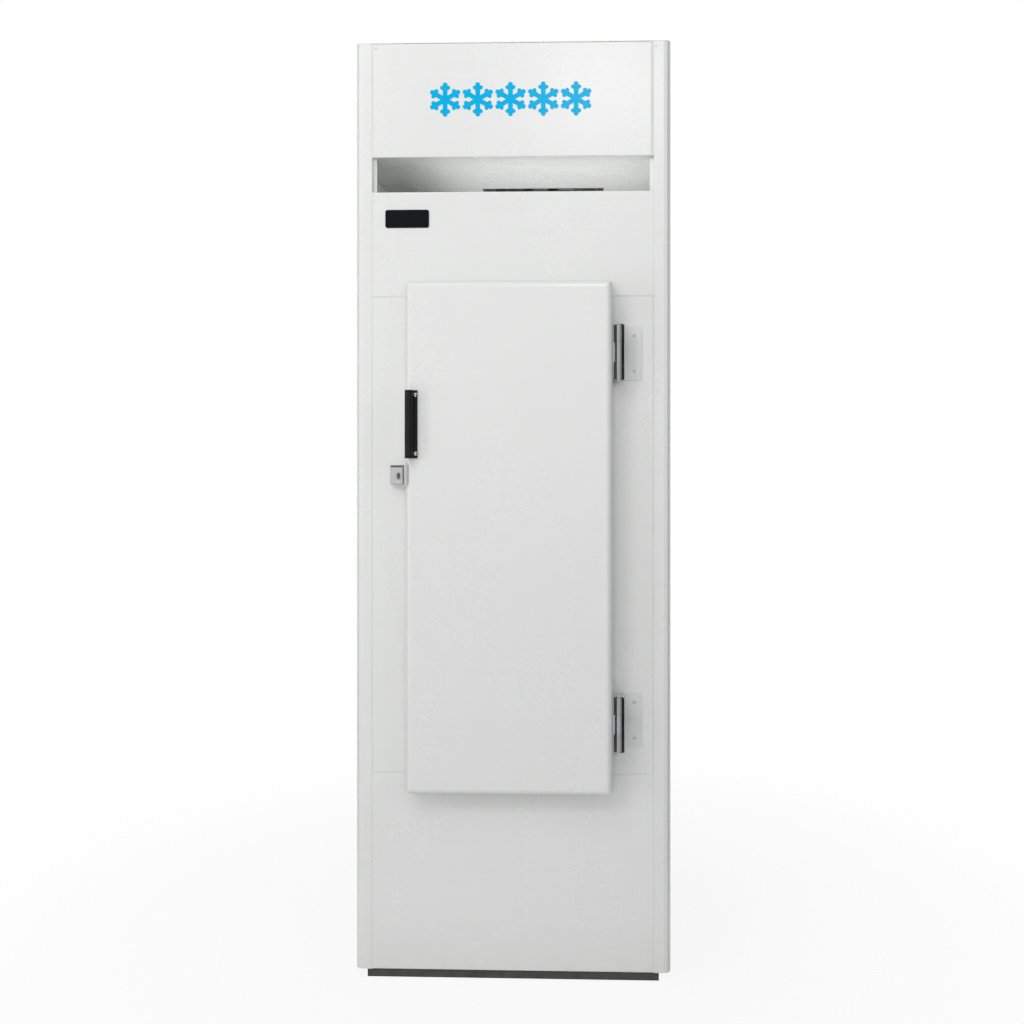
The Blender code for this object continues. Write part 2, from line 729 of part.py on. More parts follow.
def make_rear_panel():
    """Make the zinc sheet behind the store, with the hole for the drain."""
    edge = HALF_WIDTH - BEND
    form = slab((-edge, REAR_SHEET_IN, BODY_BOTTOM), (edge, REAR_SHEET_OUT, ROOF_TOP))
    panel = add_piece("rear_panel", form, "zinc_sheet")
    cut(panel, drain_hole())


def make_top_cover():
    """Make the flat lid of the case, round at its front corners."""
    all_round = box_loop("XY", (-HALF_WIDTH, HALF_WIDTH, FRONT_Y, BACK_Y), 0, 0, CORNER_RADIUS)
    front = [(point.x, point.y) for point in all_round if point.y < (FRONT_Y + BACK_Y) / 2]
    half = len(front) // 2
    rear = [(HALF_WIDTH, BACK_Y), (-HALF_WIDTH, BACK_Y)]
    outline = front[:half] + rear + front[half:]
    form = drawn(outline, "XY", CASE_HEIGHT - SHEET, CASE_HEIGHT)
    add_piece("top_cover", form, "white_enamel", smooth=True)


def make_case():
    """Make the plinth, the folded sheets of the case and the panels of its front."""
    make_base_frame()
    make_side_panel("side_panel_left", -1)
    make_side_panel("side_panel_right", 1)
    tongued_sheet("bottom_pan", PAN_BOTTOM, "zinc_sheet")
    roof = tongued_sheet("roof_sheet", ROOF_TOP - SHEET, "white_enamel")
    cut(roof, *pipe_holes())
    bay = BAY_HALF - GAP
    make_front_panel("lower_front_panel", BODY_BOTTOM, LOWER_PANEL_TOP, -bay, bay)
    make_front_panel("upper_front_panel", UPPER_PANEL_BOTTOM, UPPER_PANEL_TOP, -bay, bay)
    left, right = HEADER_GAP_LEFT - BAY_HALF, BAY_HALF - HEADER_GAP_RIGHT
    make_front_panel("header_panel", DECK_HEIGHT, SIDE_TOP, left, right)
    make_stile("front_stile_left", -bay, -OPENING_LEFT)
    make_stile("front_stile_right", OPENING_RIGHT, bay)
    make_rear_panel()
    make_top_cover()


def doorway(front, back):
    """Make the block of space that the doorway takes between two depths."""
    low = (-OPENING_LEFT, front, LOWER_PANEL_TOP)
    return slab(low, (OPENING_RIGHT, back, UPPER_PANEL_BOTTOM))


def pipe_holes():
    """Make the round cutters where the two pipes go down into the store."""
    cutters = []
    for across, radius in ((SUCTION_X, SUCTION_RADIUS), (LIQUID_X, LIQUID_RADIUS)):
        low = (across, EVAPORATOR_Y, CAVITY_TOP - OVERRUN)
        high = (across, EVAPORATOR_Y, DECK_TOP + OVERRUN)
        cutters.append(rod(low, high, radius + HOLE_CLEARANCE))
    return cutters


def drain_hole():
    """Make the round cutter along the drain's way out."""
    start = (0, HOUSING_REAR - OVERRUN, DRAIN_Z)
    return rod(start, (0, BACK_Y, DRAIN_Z), DRAIN_RADIUS + HOLE_CLEARANCE)


def make_foam():
    """Make the foam that fills the walls round the store."""
    low = (-INSIDE_HALF, BEHIND_TABS, FOAM_BOTTOM)
    form = slab(low, (INSIDE_HALF, BEFORE_REAR_SHEET, FOAM_TOP))
    foam = add_piece("cabinet_foam", form, "pale_foam")
    low = (-CAVITY_HALF, CAVITY_FRONT, CAVITY_BOTTOM)
    cavity = slab(low, (CAVITY_HALF, CAVITY_BACK, CAVITY_TOP))
    way_in = doorway(BEHIND_TABS - OVERRUN, CAVITY_FRONT + OVERRUN)
    cut(foam, cavity, way_in, drain_hole(), *pipe_holes())


def make_liner():
    """Make the thin white lining of the store."""
    low = Vector((-STORE_HALF, STORE_FRONT, STORE_BOTTOM))
    high = Vector((STORE_HALF, STORE_BACK, STORE_TOP))
    skin = Vector((LINER, LINER, LINER))
    liner = add_piece("inner_liner", slab(low - skin, high + skin), "white_plastic")
    way_in = doorway(CAVITY_FRONT - OVERRUN, STORE_FRONT + OVERRUN)
    cut(liner, slab(low, high), way_in, drain_hole(), *pipe_holes())


def make_breaker_frame():
    """Make the plastic strip round the doorway, clipped behind the lining."""
    span = (-OPENING_LEFT, OPENING_RIGHT, LOWER_PANEL_TOP, UPPER_PANEL_BOTTOM)
    lip = STORE_FRONT + GAP
    profile = [
        (FRONT_Y + GAP, GAP),
        (lip, GAP),
        (lip, -BREAKER_LIP),
        (lip + BREAKER_WALL, -BREAKER_LIP),
        (lip + BREAKER_WALL, GAP + BREAKER_WALL),
        (FRONT_Y + GAP, GAP + BREAKER_WALL),
    ]
    round_corner = (BREAKER_CORNER, SMALL_CORNER_STEPS)
    loops = [box_loop("XZ", span, deep, inset, *round_corner) for deep, inset in profile]
    add_piece("breaker_frame", lofted(loops, ring=True), "white_plastic", smooth=True)


def make_rack():
    """Make the slatted rack that keeps the bags off the floor of the store."""
    left, right = RACK_EDGE - STORE_HALF, STORE_HALF - RACK_EDGE
    front, back = STORE_FRONT + BREAKER_WALL + RACK_EDGE, STORE_BACK - RACK_EDGE
    floor = STORE_BOTTOM + GAP
    top = floor + RACK_FEET
    runners = bmesh.new()
    for index in range(RACK_RUNNERS):
        across = left + (right - left - RACK_BAR) * index / (RACK_RUNNERS - 1)
        add_slab(runners, (across, front, floor), (across + RACK_BAR, back, top))
    slats = bmesh.new()
    for index in range(RACK_SLATS):
        deep = front + (back - front - RACK_BAR) * index / (RACK_SLATS - 1)
        low = (left - RACK_BAR / 2, deep, top - RACK_BAR / 2)
        add_slab(slats, low, (right + RACK_BAR / 2, deep + RACK_BAR, top + RACK_BAR / 2))
    rack = add_piece("floor_rack", runners, "white_enamel")
    join(rack, slats)


def make_insulated_body():
    """Make the foam, the lining, the doorway's strip and the rack."""
    make_foam()
    make_liner()
    make_breaker_frame()
    make_rack()


def door_loop(deep, inset):
    """Give the door's outline at a depth, its corners tightening as it is drawn in."""
    span = (DOOR_LEFT, DOOR_RIGHT, DOOR_BOTTOM, DOOR_TOP)
    radius = max(DOOR_CORNER_RADIUS - inset, DOOR_CORNER_LEAST)
    return box_loop("XZ", span, deep, inset, radius, SMALL_CORNER_STEPS)


def rounded_face(offset):
    """Give the door's loops from its flat face round its edge, moved in by an offset."""
    radius = DOOR_EDGE_RADIUS - offset
    loops = []
    for step in range(CORNER_STEPS + 1):
        turn = QUARTER_TURN * step / CORNER_STEPS
        inset = offset + radius * (1 - math.sin(turn))
        deep = DOOR_FACE + offset + radius * (1 - math.cos(turn))
        loops.append(door_loop(deep, inset))
    return loops


def make_door_skin(axis):
    """Make the door's outer sheet, a pan with round edges and a lip at the back."""
    loops = rounded_face(0)
    loops.append(door_loop(DOOR_BACK, 0))
    loops.append(door_loop(DOOR_BACK, DOOR_LIP))
    loops.append(door_loop(DOOR_BACK - SHEET, DOOR_LIP))
    loops.append(door_loop(DOOR_BACK - SHEET, SHEET))
    loops += reversed(rounded_face(SHEET))
    add_piece("door_skin", lofted(loops), "white_enamel", axis, smooth=True)


def make_door_foam(axis):
    """Make the foam inside the door."""
    offset = SHEET + GAP
    loops = rounded_face(offset)
    loops.append(door_loop(DOOR_BACK - offset, offset))
    add_piece("door_foam", lofted(loops), "pale_foam", axis)


def make_door_liner(axis):
    """Make the moulded inner face of the door, with its raised middle."""
    near = DOOR_BACK + GAP
    far = near + DOOR_LINER
    span = (DOOR_LEFT, DOOR_RIGHT, DOOR_BOTTOM, DOOR_TOP)
    top = DOOR_HUMP_INSET + DOOR_HUMP_SLOPE
    profile = [
        (far + DOOR_LINER_HUMP, top),
        (far, DOOR_HUMP_INSET),
        (far, DOOR_LINER_INSET),
        (near, DOOR_LINER_INSET),
        (near, DOOR_HUMP_INSET + DOOR_LINER),
        (near + DOOR_LINER_HUMP, top + DOOR_LINER),
    ]
    round_corner = (DOOR_CORNER_RADIUS, SMALL_CORNER_STEPS)
    loops = [box_loop("XZ", span, deep, inset, *round_corner) for deep, inset in profile]
    add_piece("door_liner", lofted(loops), "white_plastic", axis, smooth=True)


def make_gasket(axis):
    """Make the soft seal round the back of the door, with its pleat."""
    near = DOOR_BACK + GAP + DOOR_LINER + GAP
    far = FRONT_Y - GAP
    middle = (near + far) / 2
    span = (DOOR_LEFT, DOOR_RIGHT, DOOR_BOTTOM, DOOR_TOP)
    inner = GASKET_INSET + GASKET_WIDTH
    profile = [
        (near, GASKET_INSET),
        (middle, GASKET_INSET + GASKET_PLEAT),
        (far, GASKET_INSET),
        (far, inner),
        (middle, inner - GASKET_PLEAT),
        (near, inner),
    ]
    round_corner = (DOOR_CORNER_RADIUS, SMALL_CORNER_STEPS)
    loops = [box_loop("XZ", span, deep, inset, *round_corner) for deep, inset in profile]
    add_piece("door_gasket", lofted(loops, ring=True), "pale_rubber", axis, smooth=True)


def make_handle(axis):
    """Make the black pull: a foot on the door, a wall and a grip that curls back."""
    left = HANDLE_LEFT + HANDLE_WALL
    wall = HANDLE_LEFT + HANDLE_WIDTH - HANDLE_FOOT
    right = HANDLE_LEFT + HANDLE_WIDTH
    seat = DOOR_FACE - GAP
    front = DOOR_FACE - HANDLE_PROUD + HANDLE_WALL
    path = [(right, seat), (wall, seat), (wall, front), (left, front), (left, front + HANDLE_BEND)]
    bends = [HANDLE_WALL, HANDLE_BEND, HANDLE_WALL + HANDLE_END_SET]
    outline = bent_strip(path, bends, HANDLE_WALL, 1)
    top = HANDLE_BOTTOM + HANDLE_HEIGHT
    form = drawn(outline, "XY", HANDLE_BOTTOM, top)
    handle = add_piece("door_handle", form, "black_plastic", axis, smooth=True)
    ends = bmesh.new()
    for low in (HANDLE_BOTTOM, top - HANDLE_END_WALL):
        corner = (left, front - HANDLE_WALL / 2, low)
        add_slab(ends, corner, (wall + HANDLE_WALL / 2, seat - HANDLE_END_SET, low + HANDLE_END_WALL))
    join(handle, ends)
    for place in screw_places():
        cut(handle, rod(place, place + Vector((0, -HANDLE_PROUD / 2, 0)), screw_hole_radius()))


def screw_hole_radius():
    """Give the radius of the holes for the handle's screws."""
    return HANDLE_SCREW_RADIUS + HOLE_CLEARANCE


def screw_places():
    """Give where the handle's two screws meet the door's face."""
    across = HANDLE_LEFT + HANDLE_WIDTH - (HANDLE_FOOT - HANDLE_WALL) / 2
    heights = (HANDLE_BOTTOM + HANDLE_SCREW_EDGE, HANDLE_BOTTOM + HANDLE_HEIGHT - HANDLE_SCREW_EDGE)
    return [Vector((across, DOOR_FACE, height)) for height in heights]


def make_handle_screws(axis):
    """Make the two pan-head screws that hold the handle."""
    head = -GAP - HANDLE_WALL - GAP
    profile = [
        (HANDLE_SCREW_RADIUS, -GAP),
        (HANDLE_SCREW_RADIUS, head),
        (HANDLE_SCREW_RADIUS + HANDLE_SCREW_HEAD, head),
        (HANDLE_SCREW_RADIUS, head - HANDLE_SCREW_HEAD),
    ]
    for label, place in zip(("lower", "upper"), screw_places()):
        form = turned(profile, place, "Y", SMALL_STEPS)
        add_piece(f"handle_screw_{label}", form, "bright_chrome", axis, smooth=True)


def make_strike(axis):
    """Make the bracket on the door's free edge with the keeper that takes the bolt."""
    side = DOOR_LEFT - GAP - STRIKE_SHEET
    front = DOOR_FACE - GAP - STRIKE_SHEET
    path = [(side, DOOR_BACK - GAP), (side, front), (side + STRIKE_FRONT, front)]
    outline = bent_strip(path, [BEND], STRIKE_SHEET, 1)
    low, high = BOLT_Z - STRIKE_HEIGHT / 2, BOLT_Z + STRIKE_HEIGHT / 2
    strike = add_piece("door_strike", drawn(outline, "XY", low, high), "satin_steel", axis)
    play = BOLT_PLAY + KEEPER_WALL
    tall = BOLT_HEIGHT / 2 + play
    corner = (side - KEEPER_LENGTH, BOLT_FRONT - play, BOLT_Z - tall)
    block = slab(corner, (side + STRIKE_SHEET / 2, BOLT_REAR + play, BOLT_Z + tall))
    join(strike, block)
    tall = BOLT_HEIGHT / 2 + BOLT_PLAY
    corner = (side - KEEPER_LENGTH - OVERRUN, BOLT_FRONT - BOLT_PLAY, BOLT_Z - tall)
    cut(strike, slab(corner, (side, BOLT_REAR + BOLT_PLAY, BOLT_Z + tall)))


def make_door():
    """Make everything that swings with the door."""
    axis = joint_axis("door_axis", DOOR_AXIS)
    make_door_skin(axis)
    make_door_foam(axis)
    make_door_liner(axis)
    make_gasket(axis)
    make_handle(axis)
    make_handle_screws(axis)
    make_strike(axis)
    for label, height in (("upper", HINGE_UPPER_Z), ("lower", HINGE_LOWER_Z)):
        make_door_leaf(f"hinge_door_leaf_{label}", height, axis)


def make_door_leaf(name, height, axis):
    """Make the hinge leaf on the door's edge, with the middle knuckle."""
    edge = DOOR_RIGHT + GAP
    half = HINGE_HEIGHT / 2
    low = (edge, PIN_Y - DOOR_LEAF_DEPTH / 2, height - half)
    high = (edge + DOOR_LEAF_THICKNESS, PIN_Y + DOOR_LEAF_DEPTH / 2, height + half)
    leaf = add_piece(name, slab(low, high), "bright_chrome", axis, smooth=True)
    half = KNUCKLE_MIDDLE / 2
    low = (edge + DOOR_LEAF_THICKNESS / 2, PIN_Y - DOOR_LEAF_WEB / 2, height - half)
    web = slab(low, (PIN_X, PIN_Y + DOOR_LEAF_WEB / 2, height + half))
    low = (PIN_X, PIN_Y, height - half - KNUCKLE_GAP / 2)
    high = (PIN_X, PIN_Y, height + half + KNUCKLE_GAP / 2)
    join(leaf, web, rod(low, high, BARREL_RADIUS, ROUND_STEPS))
    cut(leaf, pin_bore(height))


def pin_bore(height):
    """Make the cutter for a hinge's pin."""
    reach = HINGE_HEIGHT / 2 + OVERRUN
    low = (PIN_X, PIN_Y, height - reach)
    return rod(low, (PIN_X, PIN_Y, height + reach), PIN_RADIUS + BARREL_WALL_CLEARANCE)


def make_frame_leaf(name, height):
    """Make the hinge leaf on the stile, with the outer knuckles on their necks."""
    left = PIN_X + BARREL_RADIUS - NECK_THICKNESS
    right = PIN_X + BARREL_RADIUS + LEAF_WIDTH
    bottom, top = height - HINGE_HEIGHT / 2, height + HINGE_HEIGHT / 2
    round_plate = box_loop("XZ", (left, right, bottom, top), 0, radius=LEAF_CORNER)
    middle = (left + right) / 2
    outline = [(left, bottom)]
    outline += [(point.x, point.z) for point in round_plate if point.x > middle]
    outline.append((left, top))
    back = FRONT_Y - GAP
    form = drawn(outline, "XZ", back - LEAF_THICKNESS, back)
    leaf = add_piece(name, form, "satin_steel", smooth=True)
    inner = KNUCKLE_MIDDLE / 2 + KNUCKLE_GAP
    necks = bmesh.new()
    for low, high in ((bottom, height - inner), (height + inner, top)):
        corner = (left, PIN_Y, low)
        add_slab(necks, corner, (left + NECK_THICKNESS, back - LEAF_THICKNESS / 2, high))
    join(leaf, necks)
    for low, high in ((bottom, height - inner), (height + inner, top)):
        join(leaf, rod((PIN_X, PIN_Y, low), (PIN_X, PIN_Y, high), BARREL_RADIUS, ROUND_STEPS))
    cut(leaf, pin_bore(height))


def make_hinge_pin(name, height):
    """Make a hinge pin with a domed head at each end."""
    half = HINGE_HEIGHT / 2 + GAP
    tip = half + PIN_HEAD_HEIGHT
    profile = [
        (PIN_RADIUS, -tip),
        (PIN_HEAD_RADIUS, -half - PIN_HEAD_HEIGHT / 2),
        (PIN_HEAD_RADIUS, -half),
        (PIN_RADIUS, -half),
        (PIN_RADIUS, half),
        (PIN_HEAD_RADIUS, half),
        (PIN_HEAD_RADIUS, half + PIN_HEAD_HEIGHT / 2),
        (PIN_RADIUS, tip),
    ]
    form = turned(profile, (PIN_X, PIN_Y, height), "Z", SMALL_STEPS)
    add_piece(name, form, "bright_chrome", smooth=True)


def make_hinges():
    """Make the fixed leaves and the pins of both hinges."""
    for label, height in (("upper", HINGE_UPPER_Z), ("lower", HINGE_LOWER_Z)):
        make_frame_leaf(f"hinge_frame_leaf_{label}", height)
        make_hinge_pin(f"hinge_pin_{label}", height)


def make_lock():
    """Make the key lock: its case, the plug with its crank, and the bolt."""
    make_lock_case()
    make_lock_plug()
    make_lock_bolt()


def make_lock_case():
    """Make the case on the stile, with the bolt's channel and the plug's bore."""
    span = (LOCK_LEFT, LOCK_RIGHT, LOCK_BOTTOM, LOCK_BOTTOM + LOCK_HEIGHT)
    face = FRONT_Y - LOCK_PROUD
    profile = [(FRONT_Y - GAP, 0), (face + LOCK_EDGE, 0), (face, LOCK_EDGE)]
    loops = [box_loop("XZ", span, deep, inset) for deep, inset in profile]
    case = add_piece("lock_case", lofted(loops), "bright_chrome")
    tall = BOLT_HEIGHT / 2 + BOLT_PLAY
    low = (BOLT_LEFT - BOLT_PLAY, BOLT_FRONT - BOLT_PLAY, BOLT_Z - tall)
    channel = slab(low, (LOCK_RIGHT + OVERRUN, BOLT_REAR + BOLT_PLAY, BOLT_Z + tall))
    low = (KEY_X, face - OVERRUN, KEY_Z)
    bore = rod(low, (KEY_X, BOLT_FRONT, KEY_Z), LOCK_PLUG_RADIUS + HOLE_CLEARANCE, ROUND_STEPS)
    cut(case, channel, bore)


def make_lock_plug():
    """Make the plug that the key turns, with its keyway and its crank pin."""
    axis = joint_axis("key_axis", (KEY_X, FRONT_Y - LOCK_PROUD, KEY_Z))
    face = FRONT_Y - LOCK_PROUD - LOCK_PLUG_PROUD
    rear = BOLT_FRONT - BOLT_PLAY
    form = rod((KEY_X, face, KEY_Z), (KEY_X, rear, KEY_Z), LOCK_PLUG_RADIUS, ROUND_STEPS)
    plug = add_piece("lock_plug", form, "bright_chrome", axis, smooth=True)
    low = (CRANK_X, rear - LOCK_FRONT_WALL / 2, CRANK_Z)
    join(plug, rod(low, (CRANK_X, BOLT_REAR, CRANK_Z), CRANK_PIN_RADIUS))
    half_width, half_height = KEYWAY_WIDTH / 2, KEYWAY_HEIGHT / 2
    low = (KEY_X - half_width, face - OVERRUN, KEY_Z - half_height)
    cut(plug, slab(low, (KEY_X + half_width, face + KEYWAY_DEPTH, KEY_Z + half_height)))


def make_lock_bolt():
    """Make the flat bolt, drawn back, with the slot that the crank pin works in."""
    axis = joint_axis("bolt_axis", (BOLT_LEFT, BOLT_FRONT, BOLT_Z))
    low = (BOLT_LEFT, BOLT_FRONT, BOLT_Z - BOLT_HEIGHT / 2)
    form = slab(low, (BOLT_RIGHT, BOLT_REAR, BOLT_Z + BOLT_HEIGHT / 2))
    bolt = add_piece("lock_bolt", form, "satin_steel", axis)
    room = CRANK_PIN_RADIUS + CRANK_PLAY
    low = (CRANK_X - room, BOLT_FRONT - OVERRUN, CRANK_Z - room)
    high = (CRANK_X + room, BOLT_REAR + OVERRUN, KEY_Z + CRANK_RADIUS + room)
    cut(bolt, slab(low, high))


def make_deck():
    """Make the machine deck behind the header, folded up along both sides, with its air opening."""
    rim = DECK_UNDER + DECK_SIDE_FLANGE
    path = [
        (-INSIDE_HALF, rim),
        (-INSIDE_HALF, DECK_UNDER),
        (INSIDE_HALF, DECK_UNDER),
        (INSIDE_HALF, rim),
    ]
    outline = bent_strip(path, [BEND, BEND], DECK_SHEET, 1)
    form = drawn(outline, "XZ", RETURN_END + GAP, BEFORE_REAR_SHEET)
    deck = add_piece("machine_deck", form, "white_enamel", smooth=True)
    under, over = DECK_UNDER - OVERRUN, rim + OVERRUN
    low = (CONDENSER_X - AIR_CUT_WIDTH / 2, FRONT_Y + CASE_DEPTH * AIR_CUT_START_SHARE, under)
    high = (CONDENSER_X + AIR_CUT_WIDTH / 2, CONDENSER_Y - AIR_CUT_BEFORE_CONDENSER, over)
    cut(deck, slab(low, high))
    for side in (-1, 1):
        low = (side * TONGUE_HALF, FRONT_Y, under)
        cut(deck, slab(low, (side * (HALF_WIDTH + OVERRUN), BEHIND_TABS, over)))
    cut(deck, *pipe_holes())


def dome(radius, flat, rise):
    """Give the profile of a pressed dome, from its flat out to its full radius."""
    profile = []
    for step in range(CORNER_STEPS + 1):
        turn = QUARTER_TURN * step / CORNER_STEPS
        profile.append((flat + (radius - flat) * math.sin(turn), rise * (1 - math.cos(turn))))
    return profile


def foot_places():
    """Give the middles of the compressor's four feet, seen from above."""
    places = []
    for across in (-COMPRESSOR_FOOT_X, COMPRESSOR_FOOT_X):
        for deep in (-COMPRESSOR_FOOT_Y, COMPRESSOR_FOOT_Y):
            places.append((COMPRESSOR_X + across, COMPRESSOR_Y + deep))
    return places


def make_compressor():
    """Make the welded compressor on its foot plate, with its terminal box."""
    base = DECK_TOP + GAP + GROMMET_HEIGHT + GAP
    wide = COMPRESSOR_FOOT_X + COMPRESSOR_FOOT_EDGE
    deep = COMPRESSOR_FOOT_Y + COMPRESSOR_FOOT_EDGE
    span = (COMPRESSOR_X - wide, COMPRESSOR_X + wide, COMPRESSOR_Y - deep, COMPRESSOR_Y + deep)
    ends = (base, base + COMPRESSOR_PLATE)
    plate = [box_loop("XY", span, height, 0, COMPRESSOR_FOOT_EDGE) for height in ends]
    body = add_piece("compressor", lofted(plate), "black_enamel", smooth=True)
    lower = dome(COMPRESSOR_RADIUS, COMPRESSOR_RADIUS * DOME_FLAT_SHARE, COMPRESSOR_DOME)
    weld = COMPRESSOR_BODY * WELD_UP_SHARE
    flange = COMPRESSOR_RADIUS + COMPRESSOR_WELD
    middle = [
        (COMPRESSOR_RADIUS, weld),
        (flange, weld),
        (flange, weld + COMPRESSOR_WELD_HEIGHT),
        (COMPRESSOR_RADIUS, weld + COMPRESSOR_WELD_HEIGHT),
    ]
    upper = [(radius, COMPRESSOR_BODY - along) for radius, along in reversed(lower)]
    centre = (COMPRESSOR_X, COMPRESSOR_Y, base + COMPRESSOR_PLATE / 2)
    shell = turned(lower + middle + upper, centre, "Z")
    left = COMPRESSOR_X - COMPRESSOR_RADIUS
    middle_z = base + COMPRESSOR_BODY / 2
    corner = (left - TERMINAL_BOX_DEPTH, COMPRESSOR_Y - TERMINAL_BOX_WIDTH / 2, middle_z)
    far = (left + TERMINAL_BOX_DEPTH, COMPRESSOR_Y + TERMINAL_BOX_WIDTH / 2, middle_z)
    rise = Vector((0, 0, TERMINAL_BOX_HEIGHT / 2))
    join(body, shell, slab(Vector(corner) - rise, Vector(far) + rise))
    for across, along in foot_places():
        low, high = (across, along, base - OVERRUN / 2), (across, along, base + OVERRUN / 2)
        cut(body, rod(low, high, GROMMET_NECK_RADIUS + HOLE_CLEARANCE))


def make_grommets():
    """Make the rubber grommets that carry the compressor's foot plate."""
    neck = GROMMET_HEIGHT + GAP + COMPRESSOR_PLATE + GAP
    profile = [
        (GROMMET_RADIUS, 0),
        (GROMMET_RADIUS, GROMMET_HEIGHT),
        (GROMMET_NECK_RADIUS, GROMMET_HEIGHT),
        (GROMMET_NECK_RADIUS, neck),
        (GROMMET_TOP_RADIUS, neck),
        (GROMMET_TOP_RADIUS, neck + GROMMET_TOP_HEIGHT / 2),
        (GROMMET_NECK_RADIUS, neck + GROMMET_TOP_HEIGHT),
    ]
    for index, (across, deep) in enumerate(foot_places(), start=1):
        form = turned(profile, (across, deep, DECK_TOP + GAP), "Z", SMALL_STEPS)
        add_piece(f"compressor_grommet_{index}", form, "black_rubber", smooth=True)


def coil_route(left, right, deep, heights):
    """Give the route of a tube to and fro, with both of its ends at the right."""
    bend = (heights[1] - heights[0]) * COIL_BEND_SHARE
    corners = [(right + COIL_STUB, deep, heights[0])]
    side = left - COIL_STUB - bend
    for below, above in zip(heights, heights[1:]):
        corners += [(side, deep, below), (side, deep, above)]
        side = left + right - side
    corners.append((right + COIL_STUB, deep, heights[-1]))
    return rounded_route(corners, bend)


def make_coil(name, centre_x, length, deep, heights, fins, fin_depth, plate_ends, fin_low, *base):
    """Make a finned coil: a tube to and fro through fins, with a plate at each end and any base."""
    left, right = centre_x - length / 2, centre_x + length / 2
    tube = swept(coil_route(left, right, deep, heights), COIL_TUBE_RADIUS, COIL_SIDES)
    coil = add_piece(name, tube, "aluminium", smooth=True)
    stack = bmesh.new()
    for index in range(fins):
        at_end = index in (0, fins - 1)
        thick = COIL_END_PLATE if at_end else FIN_THICKNESS
        low_z, high_z = plate_ends if at_end else (fin_low, heights[-1] + FIN_MARGIN)
        across = left + (length - COIL_END_PLATE) * index / (fins - 1)
        low = (across, deep - fin_depth / 2, low_z)
        add_slab(stack, low, (across + thick, deep + fin_depth / 2, high_z))
    join(coil, *base, stack)


def make_shroud():
    """Make the box that leads the air from the condenser to its fan."""
    half = CONDENSER_LENGTH / 2 + SHROUD_MARGIN
    front = CONDENSER_Y + CONDENSER_FIN_DEPTH / 2 + GAP
    low = Vector((CONDENSER_X - half, front, DECK_TOP + GAP))
    high = Vector((CONDENSER_X + half, SHROUD_BACK, CONDENSER_HEIGHTS[-1] + FIN_MARGIN))
    shroud = add_piece("condenser_shroud", slab(low, high), "zinc_sheet", smooth=True)
    skin = Vector((SHROUD_SHEET, SHROUD_SHEET, SHROUD_SHEET))
    inner_low = low + skin
    inner_low.y = front - OVERRUN
    cut(shroud, slab(inner_low, high - skin))
    start = (CONDENSER_X, SHROUD_BACK - OVERRUN, CONDENSER_FAN_Z)
    end = (CONDENSER_X, SHROUD_BACK + OVERRUN, CONDENSER_FAN_Z)
    cut(shroud, rod(start, end, FAN_RADIUS + FAN_RING_CLEARANCE, ROUND_STEPS))


def blade_section(turn, radius, chord, pitch):
    """Give the four corners of a fan blade's section at a radius."""
    outward = Vector((math.cos(turn), 0, math.sin(turn)))
    along = Vector((-math.sin(turn), 0, math.cos(turn)))
    axial = Vector((0, 1, 0))
    run = along * math.cos(pitch) + axial * math.sin(pitch)
    lift = axial * math.cos(pitch) - along * math.sin(pitch)
    corners = []
    for ahead, up in ((-1, -1), (1, -1), (1, 1), (-1, 1)):
        corner = outward * radius + run * ahead * chord / 2 + lift * up * FAN_BLADE_THICKNESS / 2
        corners.append(corner)
    return corners


def make_fan(name, centre, radius):
    """Make a fan: a hub with a blind bore and pitched, twisted blades."""
    axis = joint_axis(f"{name}_axis", centre)
    half = FAN_HUB_DEPTH / 2
    edge = FAN_HUB_RADIUS - FAN_HUB_EDGE
    profile = [
        (edge, -half),
        (FAN_HUB_RADIUS, FAN_HUB_EDGE - half),
        (FAN_HUB_RADIUS, half - FAN_HUB_EDGE),
        (edge, half),
    ]
    hub = add_piece(name, turned(profile, centre, "Y"), "black_plastic", axis, smooth=True)
    half_chord = FAN_BLADE_TIP / 2 * math.cos(FAN_TIP_PITCH)
    tip = math.sqrt(radius ** 2 - half_chord ** 2)
    root = FAN_HUB_RADIUS * BLADE_ROOT_SHARE
    middle = (root + tip) / 2
    mid_chord = (FAN_BLADE_ROOT + FAN_BLADE_TIP) / 2
    mid_pitch = (FAN_ROOT_PITCH + FAN_TIP_PITCH) / 2
    sections = [
        (root, FAN_BLADE_ROOT, FAN_ROOT_PITCH),
        (middle, mid_chord, mid_pitch),
        (tip, FAN_BLADE_TIP, FAN_TIP_PITCH),
    ]
    blades = bmesh.new()
    for index in range(FAN_BLADES):
        turn = FULL_TURN * index / FAN_BLADES
        loops = [blade_section(turn, *section) for section in sections]
        loft(blades, [[point + Vector(centre) for point in loop] for loop in loops])
    join(hub, blades)
    start = Vector(centre) + Vector((0, half - FAN_BORE_DEPTH, 0))
    end = Vector(centre) + Vector((0, half + OVERRUN, 0))
    cut(hub, rod(start, end, FAN_SHAFT_RADIUS + HOLE_CLEARANCE))


